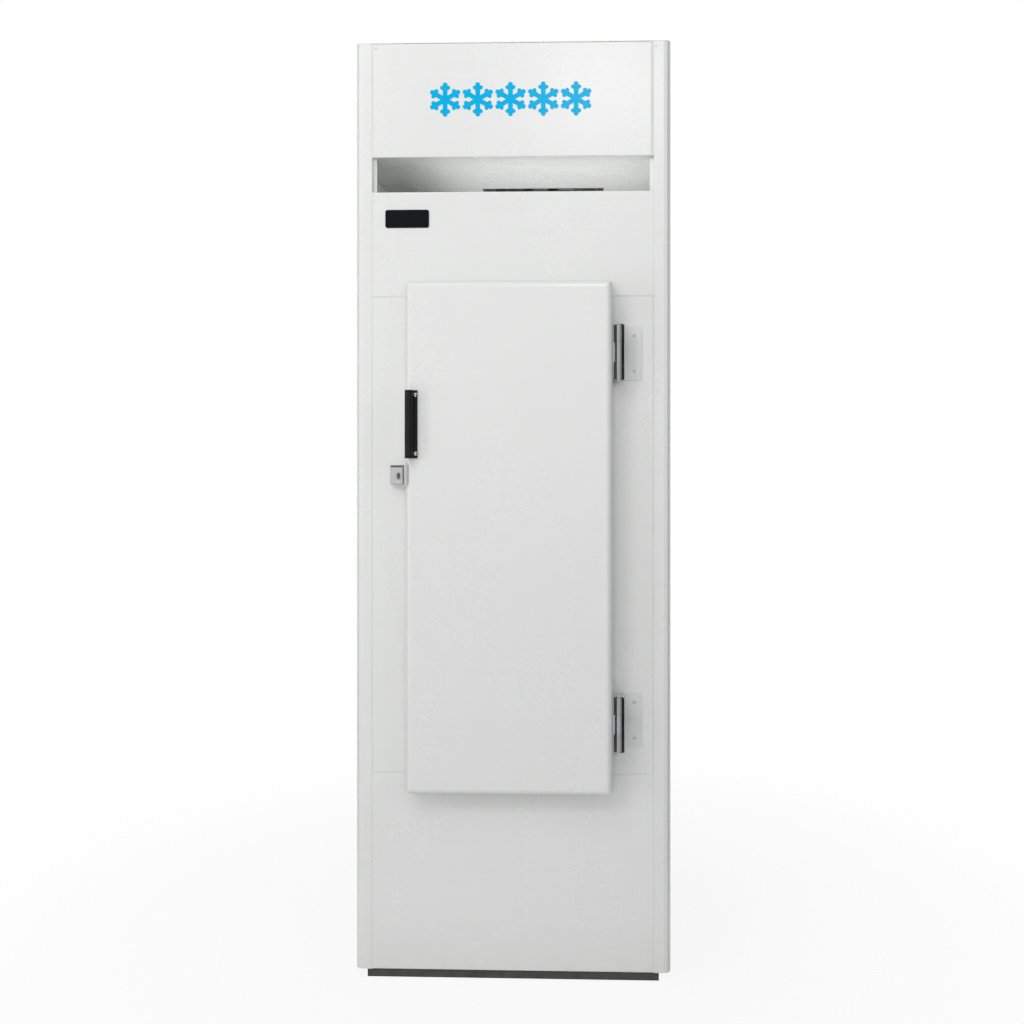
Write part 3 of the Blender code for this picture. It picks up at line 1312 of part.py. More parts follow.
def make_motor(name, centre, panel, opening):
    """Make a fan motor on a bracket that stands behind a panel, over its round opening."""
    across, deep, height = centre
    seat = panel + GAP
    stand = seat + MOTOR_STAND
    leg = opening + MOTOR_ARM_THICKNESS
    out = leg + MOTOR_ARM_REACH
    path = [(-out, seat), (-leg, seat), (-leg, stand), (leg, stand), (leg, seat), (out, seat)]
    path = [(across + run, along) for run, along in path]
    bends = [MOTOR_ARM_THICKNESS + GAP] * 4
    outline = bent_strip(path, bends, MOTOR_ARM_THICKNESS, 1)
    half = MOTOR_ARM_WIDTH / 2
    form = drawn(outline, "XY", height - half, height + half)
    motor = add_piece(name, form, "satin_steel", smooth=True)
    start = stand + MOTOR_ARM_THICKNESS / 2 - deep
    neck = MOTOR_RADIUS * MOTOR_NECK_SHARE
    profile = [
        (neck, start),
        (MOTOR_RADIUS, start + MOTOR_EDGE),
        (MOTOR_RADIUS, start + MOTOR_LENGTH - MOTOR_EDGE),
        (neck, start + MOTOR_LENGTH),
    ]
    can = turned(profile, centre, "Y")
    tip = deep + FAN_HUB_DEPTH / 2 - FAN_BORE_DEPTH + GAP
    shaft = rod((across, tip, height), (across, deep + start + MOTOR_EDGE, height), FAN_SHAFT_RADIUS)
    join(motor, can, shaft)


def make_condenser():
    """Make the condenser on its base strip, with its shroud, fan and motor."""
    foot = DECK_TOP + GAP
    seat = foot + COIL_BASE_SHEET / 2
    half = CONDENSER_LENGTH / 2 + COIL_BASE_LIP
    low = (CONDENSER_X - half, CONDENSER_Y - CONDENSER_FIN_DEPTH / 2 - COIL_BASE_LIP, foot)
    back = CONDENSER_Y + CONDENSER_FIN_DEPTH / 2 - FIN_THICKNESS
    make_coil(
        "condenser_coil",
        CONDENSER_X,
        CONDENSER_LENGTH,
        CONDENSER_Y,
        CONDENSER_HEIGHTS,
        CONDENSER_FINS,
        CONDENSER_FIN_DEPTH,
        (seat, CONDENSER_HEIGHTS[-1] + FIN_MARGIN),
        seat,
        slab(low, (CONDENSER_X + half, back, foot + COIL_BASE_SHEET)),
    )
    make_shroud()
    centre = (CONDENSER_X, SHROUD_BACK - SHROUD_SHEET / 2, CONDENSER_FAN_Z)
    make_fan("condenser_fan", centre, FAN_RADIUS)
    make_motor("condenser_fan_motor", centre, SHROUD_BACK, FAN_RADIUS + FAN_RING_CLEARANCE)


def make_pipes():
    """Make the pipework between compressor, condenser, drier and evaporator."""
    coil_end = CONDENSER_RIGHT + COIL_STUB + GAP
    low, high = CONDENSER_HEIGHTS[0], CONDENSER_HEIGHTS[-1]
    offset = COMPRESSOR_Y - DISCHARGE_OFFSET
    nearest = math.sqrt(COMPRESSOR_RADIUS ** 2 - (DISCHARGE_OFFSET - DISCHARGE_RADIUS) ** 2)
    route = [
        (COMPRESSOR_X + nearest + GAP, offset, SUCTION_Z),
        (DISCHARGE_RISE_X, offset, SUCTION_Z),
        (DISCHARGE_RISE_X, offset, high),
        (DISCHARGE_X, offset, high),
        (DISCHARGE_X, CONDENSER_Y, high),
        (coil_end, CONDENSER_Y, high),
    ]
    add_pipe("discharge_line", route, DISCHARGE_RADIUS)
    drier_back = CONDENSER_Y - PIPE_BEND - DRIER_TAPER
    drier_front = drier_back - DRIER_LENGTH
    route = [
        (coil_end, CONDENSER_Y, low),
        (DRIER_X, CONDENSER_Y, low),
        (DRIER_X, drier_back + GAP, low),
    ]
    add_pipe("condenser_outlet_line", route, LIQUID_RADIUS)
    make_drier((DRIER_X, drier_front, low))
    turn_y = drier_front - PIPE_BEND - DRIER_TAPER
    evaporator_end = EVAPORATOR_LENGTH / 2 + COIL_STUB + GAP
    route = [
        (DRIER_X, drier_front - GAP, low),
        (DRIER_X, turn_y, low),
        (LIQUID_X, turn_y, low),
        (LIQUID_X, EVAPORATOR_Y, low),
        (LIQUID_X, EVAPORATOR_Y, EVAPORATOR_HEIGHTS[0]),
        (evaporator_end, EVAPORATOR_Y, EVAPORATOR_HEIGHTS[0]),
    ]
    add_pipe("liquid_line", route, LIQUID_RADIUS)
    route = [
        (COMPRESSOR_X + COMPRESSOR_RADIUS + GAP, COMPRESSOR_Y, SUCTION_Z),
        (SUCTION_X, COMPRESSOR_Y, SUCTION_Z),
        (SUCTION_X, EVAPORATOR_Y, SUCTION_Z),
        (SUCTION_X, EVAPORATOR_Y, EVAPORATOR_HEIGHTS[-1]),
        (evaporator_end, EVAPORATOR_Y, EVAPORATOR_HEIGHTS[-1]),
    ]
    add_pipe("suction_line", route, SUCTION_RADIUS)


def add_pipe(name, corners, radius):
    """Make a copper pipe along a route with round bends."""
    add_piece(name, swept(rounded_route(corners, PIPE_BEND), radius), "copper", smooth=True)


def make_drier(front):
    """Make the filter drier, a small canister with drawn-in ends."""
    profile = [
        (LIQUID_RADIUS + SHEET, 0),
        (DRIER_RADIUS, DRIER_TAPER),
        (DRIER_RADIUS, DRIER_LENGTH - DRIER_TAPER),
        (LIQUID_RADIUS + SHEET, DRIER_LENGTH),
    ]
    add_piece("filter_drier", turned(profile, front, "Y", SMALL_STEPS), "copper", smooth=True)


def make_machine_bay():
    """Make the deck and the condensing unit on it."""
    make_deck()
    make_compressor()
    make_grommets()
    make_condenser()
    make_pipes()


def louvre_hoods():
    """Make the hoods that stand out over the louvres' slots."""
    hoods = bmesh.new()
    root = REAR_SHEET_IN + SHEET * HOOD_ROOT_SHARE
    for row in range(LOUVRE_ROWS):
        top = LOUVRE_FIRST_Z + LOUVRE_PITCH * row + LOUVRE_OPENING
        path = [(root, top + SHEET), (REAR_SHEET_OUT + LOUVRE_STAND, top - LOUVRE_OPENING)]
        outline = bent_strip(path, [], SHEET, 1)
        ends = (LOUVRE_LEFT - SHEET, CONDENSER_RIGHT + SHEET)
        loft(hoods, [[in_plane("YZ", a, b, along) for a, b in outline] for along in ends])
    return hoods


def louvre_slots():
    """Make the cutters for the louvres' slots."""
    slots = bmesh.new()
    for row in range(LOUVRE_ROWS):
        bottom = LOUVRE_FIRST_Z + LOUVRE_PITCH * row
        low = (LOUVRE_LEFT, REAR_SHEET_IN - OVERRUN, bottom)
        high = (CONDENSER_RIGHT, REAR_SHEET_OUT + OVERRUN, bottom + LOUVRE_OPENING)
        add_slab(slots, low, high)
    return slots


def make_rear_grille():
    """Make the louvred sheet behind the machine bay, with its holes."""
    edge = HALF_WIDTH - BEND
    form = slab((-edge, REAR_SHEET_IN, ROOF_TOP + SEAM), (edge, REAR_SHEET_OUT, SIDE_TOP))
    grille = add_piece("rear_grille", form, "zinc_sheet")
    cut(grille, louvre_slots())
    join(grille, louvre_hoods())
    cut(grille, switch_pocket(), knob_bore())
    start = (GLAND_X, REAR_SHEET_IN - OVERRUN, GLAND_Z)
    end = (GLAND_X, REAR_SHEET_OUT + OVERRUN, GLAND_Z)
    cut(grille, rod(start, end, GLAND_NECK_RADIUS + HOLE_CLEARANCE))


def knob_bore():
    """Make the cutter for the thermostat's shaft."""
    start = (CONTROL_X, REAR_SHEET_OUT - KNOB_SHAFT_REACH - GAP, KNOB_Z)
    end = (CONTROL_X, REAR_SHEET_OUT + OVERRUN, KNOB_Z)
    return rod(start, end, KNOB_SHAFT_RADIUS + HOLE_CLEARANCE)


def switch_pocket():
    """Make the cutter for the room that the rocker of the switch works in."""
    room = SWITCH_RADIUS + SWITCH_PLAY
    half = SWITCH_WIDTH / 2 + SWITCH_PLAY
    low = (CONTROL_X - half, SWITCH_Y - room, SWITCH_Z - room)
    return slab(low, (CONTROL_X + half, REAR_SHEET_OUT + OVERRUN, SWITCH_Z + room))


def make_control_box():
    """Make the box behind the rear grille that holds the thermostat and the switch."""
    back = BEFORE_REAR_SHEET
    half = CONTROL_WIDTH / 2
    span = (CONTROL_X - half, CONTROL_X + half, CONTROL_BOTTOM, CONTROL_BOTTOM + CONTROL_HEIGHT)
    profile = [
        (back, 0),
        (back - CONTROL_DEPTH + CONTROL_EDGE, 0),
        (back - CONTROL_DEPTH, CONTROL_EDGE),
    ]
    loops = [box_loop("XZ", span, deep, inset) for deep, inset in profile]
    box = add_piece("control_box", lofted(loops), "grey_plastic")
    cut(box, switch_pocket(), knob_bore())


def make_knob():
    """Make the thermostat's knob, with its grip bar, on its shaft."""
    axis = joint_axis("thermostat_axis", (CONTROL_X, REAR_SHEET_OUT, KNOB_Z))
    profile = [
        (KNOB_RADIUS, GAP),
        (KNOB_RADIUS - KNOB_TAPER / 2, KNOB_LENGTH - KNOB_TAPER),
        (KNOB_RADIUS - KNOB_TAPER, KNOB_LENGTH),
    ]
    centre = (CONTROL_X, REAR_SHEET_OUT, KNOB_Z)
    form = turned(profile, centre, "Y")
    knob = add_piece("thermostat_knob", form, "black_plastic", axis, smooth=True)
    start = (CONTROL_X, REAR_SHEET_OUT - KNOB_SHAFT_REACH, KNOB_Z)
    end = (CONTROL_X, REAR_SHEET_OUT + KNOB_LENGTH / 2, KNOB_Z)
    reach = KNOB_RADIUS - KNOB_TAPER * 2
    low = (CONTROL_X - KNOB_GRIP, REAR_SHEET_OUT + KNOB_LENGTH / 2, KNOB_Z - reach)
    high = (CONTROL_X + KNOB_GRIP, REAR_SHEET_OUT + KNOB_LENGTH + KNOB_GRIP, KNOB_Z + reach)
    join(knob, rod(start, end, KNOB_SHAFT_RADIUS), slab(low, high))


def make_switch():
    """Make the rocker of the power switch, resting with its lower half pressed."""
    axis = joint_axis("switch_axis", (CONTROL_X, SWITCH_Y, SWITCH_Z))
    outline = []
    for side in (1, -1):
        arc = []
        for step in range(CORNER_STEPS + 1):
            turn = SWITCH_FACE + (SWITCH_BACK - SWITCH_FACE) * step / CORNER_STEPS
            arc.append(side * turn - SWITCH_TILT)
        outline.append(arc)
    turns = list(reversed(outline[1])) + [None] + outline[0]
    points = []
    for turn in turns:
        radius, angle = (SWITCH_WAIST, -SWITCH_TILT) if turn is None else (SWITCH_RADIUS, turn)
        points.append((SWITCH_Y + radius * math.cos(angle), SWITCH_Z + radius * math.sin(angle)))
    half = SWITCH_WIDTH / 2
    form = drawn(points, "YZ", CONTROL_X - half, CONTROL_X + half)
    add_piece("power_switch", form, "black_plastic", axis, smooth=True)


def make_gland():
    """Make the cable gland in the rear grille, nut and cap on one neck."""
    inner = -SHEET - GAP
    profile = [
        (GLAND_BORE_RADIUS, GLAND_FLANGE + GLAND_CAP_LENGTH),
        (GLAND_CAP_RADIUS, GLAND_FLANGE + GLAND_CAP_LENGTH),
        (GLAND_CAP_RADIUS, GLAND_FLANGE),
        (GLAND_RADIUS, GLAND_FLANGE),
        (GLAND_RADIUS, GAP),
        (GLAND_NECK_RADIUS, GAP),
        (GLAND_NECK_RADIUS, inner),
        (GLAND_RADIUS, inner),
        (GLAND_RADIUS, inner - GLAND_NUT),
        (GLAND_BORE_RADIUS, inner - GLAND_NUT),
    ]
    form = turned(profile, (GLAND_X, REAR_SHEET_OUT, GLAND_Z), "Y", SMALL_STEPS, ring=True)
    add_piece("cable_gland", form, "black_plastic", smooth=True)


def make_rear():
    """Make the rear grille and the controls and gland that it carries."""
    make_rear_grille()
    make_control_box()
    make_knob()
    make_switch()
    make_gland()


def make_housing():
    """Make the sheet housing of the evaporator, open below and behind."""
    low = Vector((-HOUSING_HALF_WIDTH, HOUSING_FRONT, HOUSING_BOTTOM))
    high = Vector((HOUSING_HALF_WIDTH, HOUSING_REAR, STORE_TOP - GAP))
    housing = add_piece("evaporator_housing", slab(low, high), "white_enamel", smooth=True)
    skin = Vector((HOUSING_SHEET, HOUSING_SHEET, 0))
    inner_low = low + skin
    inner_low.z = HOUSING_BOTTOM - OVERRUN
    inner_high = (HOUSING_HALF_WIDTH - HOUSING_SHEET, HOUSING_REAR + OVERRUN, high.z - HOUSING_SHEET)
    cut(housing, slab(inner_low, inner_high), pipe_holes()[0])
    opening = EVAPORATOR_FAN_RADIUS + FAN_RING_CLEARANCE
    start = (0, HOUSING_FRONT - OVERRUN, EVAPORATOR_FAN_Z)
    end = (0, HOUSING_FRONT + OVERRUN, EVAPORATOR_FAN_Z)
    cut(housing, rod(start, end, opening, ROUND_STEPS))
    start = Vector((HOUSING_HALF_WIDTH - OVERRUN, EVAPORATOR_Y, EVAPORATOR_HEIGHTS[0]))
    end = start + Vector((OVERRUN * 2, 0, 0))
    cut(housing, rod(start, end, LIQUID_RADIUS + HOLE_CLEARANCE))


def make_tray():
    """Make the drip tray under the evaporator and the drain to the back."""
    span = (-HOUSING_HALF_WIDTH, HOUSING_HALF_WIDTH, HOUSING_FRONT, HOUSING_REAR)
    top = HOUSING_BOTTOM - GAP
    floor = TRAY_BOTTOM + HOUSING_SHEET
    profile = [(TRAY_BOTTOM, 0), (top, 0), (top, HOUSING_SHEET), (floor, HOUSING_SHEET)]
    loops = [box_loop("XY", span, height, inset) for height, inset in profile]
    tray = add_piece("drip_tray", lofted(loops), "white_enamel")
    cut(tray, drain_hole())
    start, end = HOUSING_REAR - TRAY_RIM, BACK_Y + REAR_PROUD
    profile = [(DRAIN_RADIUS, start), (DRAIN_RADIUS, end), (DRAIN_BORE, end), (DRAIN_BORE, start)]
    form = turned(profile, (0, 0, DRAIN_Z), "Y", SMALL_STEPS, ring=True)
    add_piece("drain_tube", form, "white_plastic", smooth=True)


def make_evaporator():
    """Make the evaporator under the ceiling of the store."""
    ceiling = STORE_TOP - GAP - HOUSING_SHEET - GAP
    make_coil(
        "evaporator_coil",
        0,
        EVAPORATOR_LENGTH,
        EVAPORATOR_Y,
        EVAPORATOR_HEIGHTS,
        EVAPORATOR_FINS,
        EVAPORATOR_FIN_DEPTH,
        (EVAPORATOR_HEIGHTS[0] - FIN_MARGIN, ceiling),
        EVAPORATOR_HEIGHTS[0] - FIN_MARGIN,
    )
    make_housing()
    centre = (0, HOUSING_FRONT + HOUSING_SHEET / 2, EVAPORATOR_FAN_Z)
    make_fan("evaporator_fan", centre, EVAPORATOR_FAN_RADIUS)
    opening = EVAPORATOR_FAN_RADIUS + FAN_RING_CLEARANCE
    make_motor("evaporator_fan_motor", centre, HOUSING_FRONT + HOUSING_SHEET, opening)
    make_tray()


def main():
    """Build the whole freezer."""
    clear_scene()
    make_case()
    make_insulated_body()
    make_door()
    make_hinges()
    make_lock()
    make_machine_bay()
    make_rear()
    make_evaporator()


main()
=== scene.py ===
"""Looks of an upright bagged ice freezer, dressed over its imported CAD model.

The CAD nodes stay as they are and take finishes made from nodes. New pieces add what
the solids leave out: the sign's snowflakes, the bare front plate, the pull with its studs,
the lock's trim, the seam beads, small screws, close fins, a fan guard, the dial's marks,
the knob's pointer and the switch's frame. Metres, +Z up, the front faces -Y.
"""

import json
import logging
import math
from dataclasses import dataclass, field
from enum import Enum
from typing import Callable, Iterable, Sequence, Union

import bmesh
import bpy
from mathutils import Matrix, Vector


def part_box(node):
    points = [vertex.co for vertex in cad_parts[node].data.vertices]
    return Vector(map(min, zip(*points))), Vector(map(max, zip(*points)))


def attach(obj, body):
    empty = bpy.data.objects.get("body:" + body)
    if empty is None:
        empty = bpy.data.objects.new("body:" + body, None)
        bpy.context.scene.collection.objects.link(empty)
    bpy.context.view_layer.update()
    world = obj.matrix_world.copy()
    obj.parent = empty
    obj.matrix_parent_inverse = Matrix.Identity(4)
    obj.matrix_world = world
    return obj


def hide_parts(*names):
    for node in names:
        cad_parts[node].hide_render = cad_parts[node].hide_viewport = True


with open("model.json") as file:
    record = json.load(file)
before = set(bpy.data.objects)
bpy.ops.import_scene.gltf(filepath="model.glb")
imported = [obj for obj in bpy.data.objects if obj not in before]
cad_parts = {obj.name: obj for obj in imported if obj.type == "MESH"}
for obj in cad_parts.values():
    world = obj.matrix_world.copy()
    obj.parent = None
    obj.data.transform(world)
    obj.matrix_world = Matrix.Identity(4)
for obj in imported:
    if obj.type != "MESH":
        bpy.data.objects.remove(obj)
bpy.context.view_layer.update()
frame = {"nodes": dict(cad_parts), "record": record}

log = logging.getLogger("freezer")

Colour = tuple[float, float, float]
Place = Union[Vector, Sequence[float]]
Value = Union["Signal", float, Sequence[float]]
Verts = list[bmesh.types.BMVert]
Edges = list[bmesh.types.BMEdge]

SMOOTH_ANGLE = math.radians(32)
FULL_TURN = 2 * math.pi
QUARTER_TURN = math.pi / 2
# Points closer than this become one.
MERGE = 1e-6
# How far a piece sinks into what carries it.
SEAT = 0.0002
WIRE_SIDES = 6
SCREW_STEPS = 12
# A screw head from its rim to the bottom of its recess, in shares of its radius and height.
SCREW_HEAD = ((1.0, 0.35), (0.86, 0.8), (0.55, 1.0), (0.42, 1.0), (0.30, 0.25), (0.0, 0.25))
WHITE = (1, 1, 1, 1)
FLOOR_DUST = (0.46, 0.44, 0.41)
GRIP_DUST = (0.10, 0.10, 0.105)
DULL_PLATE = ((0.70, 0.71, 0.71), (0.78, 0.79, 0.79))


class Side(Enum):
    """Which way a round form or a fastener points."""

    FRONT = (0.0, -1.0, 0.0)
    BACK = (0.0, 1.0, 0.0)

    def turn(self) -> Matrix:
        """Give the rotation that points +Z this way."""
        return Vector((0, 0, 1)).rotation_difference(Vector(self.value)).to_matrix()


class Texture(Enum):
    """Which pattern of grain a finish shows."""

    POWDER_COAT = "powder coat"
    MOULDED = "moulded plastic"
    KNURLED = "grained grip"
    SPANGLE = "galvanised spangle"
    BRUSHED = "brushed metal"
    POLISHED = "polished plating"
    DRAWN = "drawn tube"
    HINGE_PLATE = "plated hinge leaf"
    FOAM = "cut foam"
    RUBBER = "soft rubber"
    FILM = "adhesive film"


def middle_at(node: str, depth: float) -> Vector:
    """Give the middle of a CAD node's box, moved to the given Y."""
    low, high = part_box(node)
    return Vector(((low.x + high.x) / 2, depth, (low.z + high.z) / 2))


def add_object(name: str, data: bpy.types.ID) -> bpy.types.Object:
    """Add an object to the scene.

    Args:
        name: Its name.
        data: Its mesh, light or camera.

    Returns:
        The object.
    """
    made = bpy.data.objects.new(name, data)
    bpy.context.scene.collection.objects.link(made)
    return made


class Signal:
    """A value that varies over a surface, on which Python's operators add Math nodes."""

    def __init__(self, graph: "Graph", socket: bpy.types.NodeSocket) -> None:
        """Keep the graph and the socket that gives the value."""
        self.graph = graph
        self.socket = socket

    def maths(self, operation: str, first: Value, second: Value) -> "Signal":
        """Add one Math node that does an operation, by Blender's name of it, on two values."""
        return self.graph.node("ShaderNodeMath", {"operation": operation}, {0: first, 1: second})

    def __add__(self, other: Value) -> "Signal":
        """Add a value."""
        return self.maths("ADD", self, other)

    def __mul__(self, other: Value) -> "Signal":
        """Multiply by a value."""
        return self.maths("MULTIPLY", self, other)

    def __sub__(self, other: Value) -> "Signal":
        """Take a value away."""
        return self.maths("SUBTRACT", self, other)

    def __rsub__(self, other: Value) -> "Signal":
        """Take this away from a value."""
        return self.maths("SUBTRACT", other, self)

    def __truediv__(self, other: Value) -> "Signal":
        """Divide by a value."""
        return self.maths("DIVIDE", self, other)

    def at_least(self, other: Value) -> "Signal":
        """Give the larger of two values."""
        return self.maths("MAXIMUM", self, other)

    __radd__ = __add__
    __rmul__ = __mul__


class Graph:
    """The node tree of a material or of the world."""

    def __init__(self, tree: bpy.types.NodeTree) -> None:
        """Take over a tree and empty it."""
        self.tree = tree
        self.tree.nodes.clear()

    def node(
        self,
        kind: str,
        settings: dict[str, object] | None = None,
        inputs: dict[int | str, Value] | None = None,
        output: int | str = 0,
    ) -> Signal:
        """Add a node, with its settings made before its sockets are filled.

        Args:
            kind: The node's type.
            settings: Its settings by name. A ramp's stops are pairs of place and grey level.
            inputs: Values or links for its sockets, by number or name.
            output: The socket that the result is read from.

        Returns:
            The chosen output.
        """
        made = self.tree.nodes.new(kind)
        for name, value in (settings or {}).items():
            if name == "stops":
                self.set_stops(made.color_ramp, value)
            else:
                setattr(made, name, value)
        for key, value in (inputs or {}).items():
            if isinstance(value, Signal):
                self.tree.links.new(value.socket, made.inputs[key])
            else:
                made.inputs[key].default_value = value
        return Signal(self, made.outputs[output])

    @staticmethod
    def set_stops(ramp: bpy.types.ColorRamp, stops: Iterable[tuple[float, float]]) -> None:
        """Set a ramp's stops.

        Args:
            ramp: The ramp.
            stops: Pairs of place and grey level.
        """
        while len(ramp.elements) > 1:
            ramp.elements.remove(ramp.elements[-1])
        for index, (place, level) in enumerate(stops):
            stop = ramp.elements[0] if index == 0 else ramp.elements.new(place)
            stop.position = place
            stop.color = (level, level, level, 1)

    def place(self, stretch: Sequence[float] = (1, 1, 1)) -> Signal:
        """Give the surface's own place, stretched along each axis."""
        coordinates = self.node("ShaderNodeTexCoord", output="Object")
        return self.node("ShaderNodeMapping", {}, {"Vector": coordinates, "Scale": stretch})

    def away(self, point: Place, stretch: Sequence[float] = (1, 1, 1)) -> Signal:
        """Give how far the surface's place, stretched along each axis, is from a point."""
        inputs = {0: self.place(stretch), 1: point}
        return self.node("ShaderNodeVectorMath", {"operation": "DISTANCE"}, inputs, output="Value")

    def noise(self, scale: float, detail: float = 2, stretch: Sequence[float] = (1, 1, 1)) -> Signal:
        """Give cloudy noise from 0 to 1, with so many clouds in a metre and so many finer layers."""
        inputs = {"Vector": self.place(stretch), "Scale": scale, "Detail": detail}
        return self.node("ShaderNodeTexNoise", {}, inputs)

    def cells(self, scale: float, output: str = "Distance") -> Signal:
        """Give a pattern of cells: the distance to each middle, or one colour for each cell."""
        return self.node("ShaderNodeTexVoronoi", {}, {"Vector": self.place(), "Scale": scale}, output)

    def ramp(self, value: Signal, *stops: tuple[float, float]) -> Signal:
        """Send a value through a grey ramp with the given stops."""
        return self.node("ShaderNodeValToRGB", {"stops": stops}, {0: value})

    def mix(self, mask: Value, low: Value, high: Value) -> Signal:
        """Mix two colours.

        Args:
            mask: 0 shows the low colour and 1 the high one.
            low: The first colour.
            high: The second colour.

        Returns:
            The mixed colour.
        """
        # The node's colour sockets are its inputs 6 and 7 and its output 2.
        ends = [end if isinstance(end, Signal) else (*end, 1) for end in (low, high)]
        inputs = {0: mask, 6: ends[0], 7: ends[1]}
        return self.node("ShaderNodeMix", {"data_type": "RGBA"}, inputs, output=2)

    def height(self) -> Signal:
        """Give how high above the floor a point is."""
        return self.node("ShaderNodeSeparateXYZ", {}, {0: self.place()}, output="Z")

    def bump(self, height: Signal, depth: float) -> Signal:
        """Turn a height pattern of the given depth in metres into a normal."""
        return self.node("ShaderNodeBump", {}, {"Height": height, "Distance": depth})

    def finish(self, shader: Signal, kind: str = "ShaderNodeOutputMaterial") -> None:
        """Send a shader to the tree's output."""
        made = self.tree.nodes.new(kind)
        self.tree.links.new(shader.socket, made.inputs["Surface"])

    def rays_that_see(self) -> Signal:
        """Find the rays that see the white surroundings.

        Returns:
            1 for camera, mirror and glass rays, and 0 for the rest.
        """
        rays = "ShaderNodeLightPath"
        seen = self.node(rays, output="Is Camera Ray").at_least(self.node(rays, output="Is Glossy Ray"))
        return seen.at_least(self.node(rays, output="Is Transmission Ray"))


@dataclass(frozen=True)
class Skin:
    """What a texture varies over a surface, with the depth of its relief in metres."""

    colour: Signal
    roughness: Signal
    relief: Signal
    depth: float
    metallic: Signal | None = None


def blank_material(name: str) -> tuple[bpy.types.Material, Graph]:
    """Start a material with an empty node tree.

    Args:
        name: Its name.

    Returns:
        The material and its graph.
    """
    made = bpy.data.materials.new(name)
    made.use_nodes = True
    return made, Graph(made.node_tree)


def shaded(colour: Colour, share: float) -> Colour:
    """Give a colour made lighter or darker by a share."""
    return tuple(min(part * share, 1.0) for part in colour)


@dataclass(frozen=True)
class Finish:
    """A surface finish: its plain values and the texture that varies them."""

    slot: str
    texture: Texture
    colour: Colour
    roughness: float
    metallic: float = 0.0
    specular: float = 0.5
    name: str = ""

    def tones(self, graph: Graph, mask: Signal, start: float, end: float) -> Signal:
        """Mix two shares of the finish's colour, the first where the mask is 0."""
        return graph.mix(mask, shaded(self.colour, start), shaded(self.colour, end))

    def material(self) -> bpy.types.Material:
        """Give the finish's material, made on its first use.

        Returns:
            The material.
        """
        name = f"{self.name or self.slot}_finish"
        found = bpy.data.materials.get(name)
        if found:
            return found
        made, graph = blank_material(name)
        skin = TEXTURES[self.texture](self, graph)
        inputs = {
            "Base Color": skin.colour,
            "Roughness": skin.roughness,
            "Metallic": self.metallic if skin.metallic is None else skin.metallic,
            "Specular IOR Level": self.specular,
            "Normal": graph.bump(skin.relief, skin.depth),
        }
        graph.finish(graph.node("ShaderNodeBsdfPrincipled", {}, inputs))
        return made


def powder_coat(finish: Finish, graph: Graph) -> Skin:
    """Baked powder paint: faint clouds and level streaks, orange peel and dust low down.

    Args:
        finish: The finish that it varies.
        graph: The material's graph.

    Returns:
        The painted skin.
    """
    cloud = graph.noise(1.6, 3)
    streak = graph.noise(14, 3, (0.22, 0.22, 4.0))
    peel = graph.noise(170, 2)
    wiped = graph.ramp(graph.noise(4.5, 4, (1, 1, 0.4)), (0.36, 0.0), (0.74, 1.0))
    shade = finish.tones(graph, cloud * 0.5 + streak * 0.5, 0.968, 1.022)
    low_down = graph.ramp(graph.height(), (0.0, 1.0), (0.14, 0.0))
    dust = low_down * graph.noise(38, 4) * 0.22
    colour = graph.mix(dust, shade, FLOOR_DUST)
    roughness = wiped * 0.04 + peel * 0.03 + (finish.roughness - 0.03) + dust * 0.5
    return Skin(colour, roughness, peel, 0.00003)


def moulded(finish: Finish, graph: Graph) -> Skin:
    """Moulded plastic: even colour with a fine matt grain and a few rubbed places.

    Args:
        finish: The finish that it varies.
        graph: The material's graph.

    Returns:
        The plastic's skin.
    """
    grain = graph.noise(900, 2)
    flow = graph.noise(7, 4)
    rubbed = graph.ramp(graph.noise(21, 5), (0.55, 0.0), (0.75, 1.0))
    colour = finish.tones(graph, flow, 0.93, 1.06)
    return Skin(colour, grain * 0.10 - rubbed * 0.10 + (finish.roughness - 0.02), grain, 0.00004)


def knurled(finish: Finish, graph: Graph) -> Skin:
    """Grained grip plastic: pebbled cells with dust in their valleys.

    Args:
        finish: The finish that it varies.
        graph: The material's graph.

    Returns:
        The grip's skin.
    """
    pebbles = graph.cells(620)
    dust = graph.ramp(pebbles, (0.30, 0.0), (0.75, 1.0))
    colour = graph.mix(dust * 0.6 * graph.noise(40, 3), finish.colour, GRIP_DUST)
    return Skin(colour, dust * 0.14 + finish.roughness, 1.0 - pebbles, 0.00012)


def spangle(finish: Finish, graph: Graph) -> Skin:
    """Galvanised sheet: zinc crystals that differ in shade and shine.

    Args:
        finish: The finish that it varies.
        graph: The material's graph.

    Returns:
        The zinc's skin.
    """
    crystal = graph.node("ShaderNodeSeparateXYZ", {}, {0: graph.cells(62, "Color")})
    cloud = graph.noise(3, 4)
    colour = finish.tones(graph, crystal * 0.7 + cloud * 0.3, 0.80, 1.14)
    grain = graph.noise(420, 2)
    return Skin(colour, crystal * 0.16 + cloud * 0.08 + (finish.roughness - 0.12), grain, 0.00002)


def brushed(finish: Finish, graph: Graph) -> Skin:
    """Brushed metal: long fine lines along its height.

    Args:
        finish: The finish that it varies.
        graph: The material's graph.

    Returns:
        The metal's skin.
    """
    line = graph.noise(14, 4, (60, 60, 1.4))
    stain = graph.noise(24, 4)
    colour = finish.tones(graph, line * 0.6 + stain * 0.4, 0.82, 1.12)
    return Skin(colour, line * 0.16 + stain * 0.08 + (finish.roughness - 0.12), line, 0.00002)


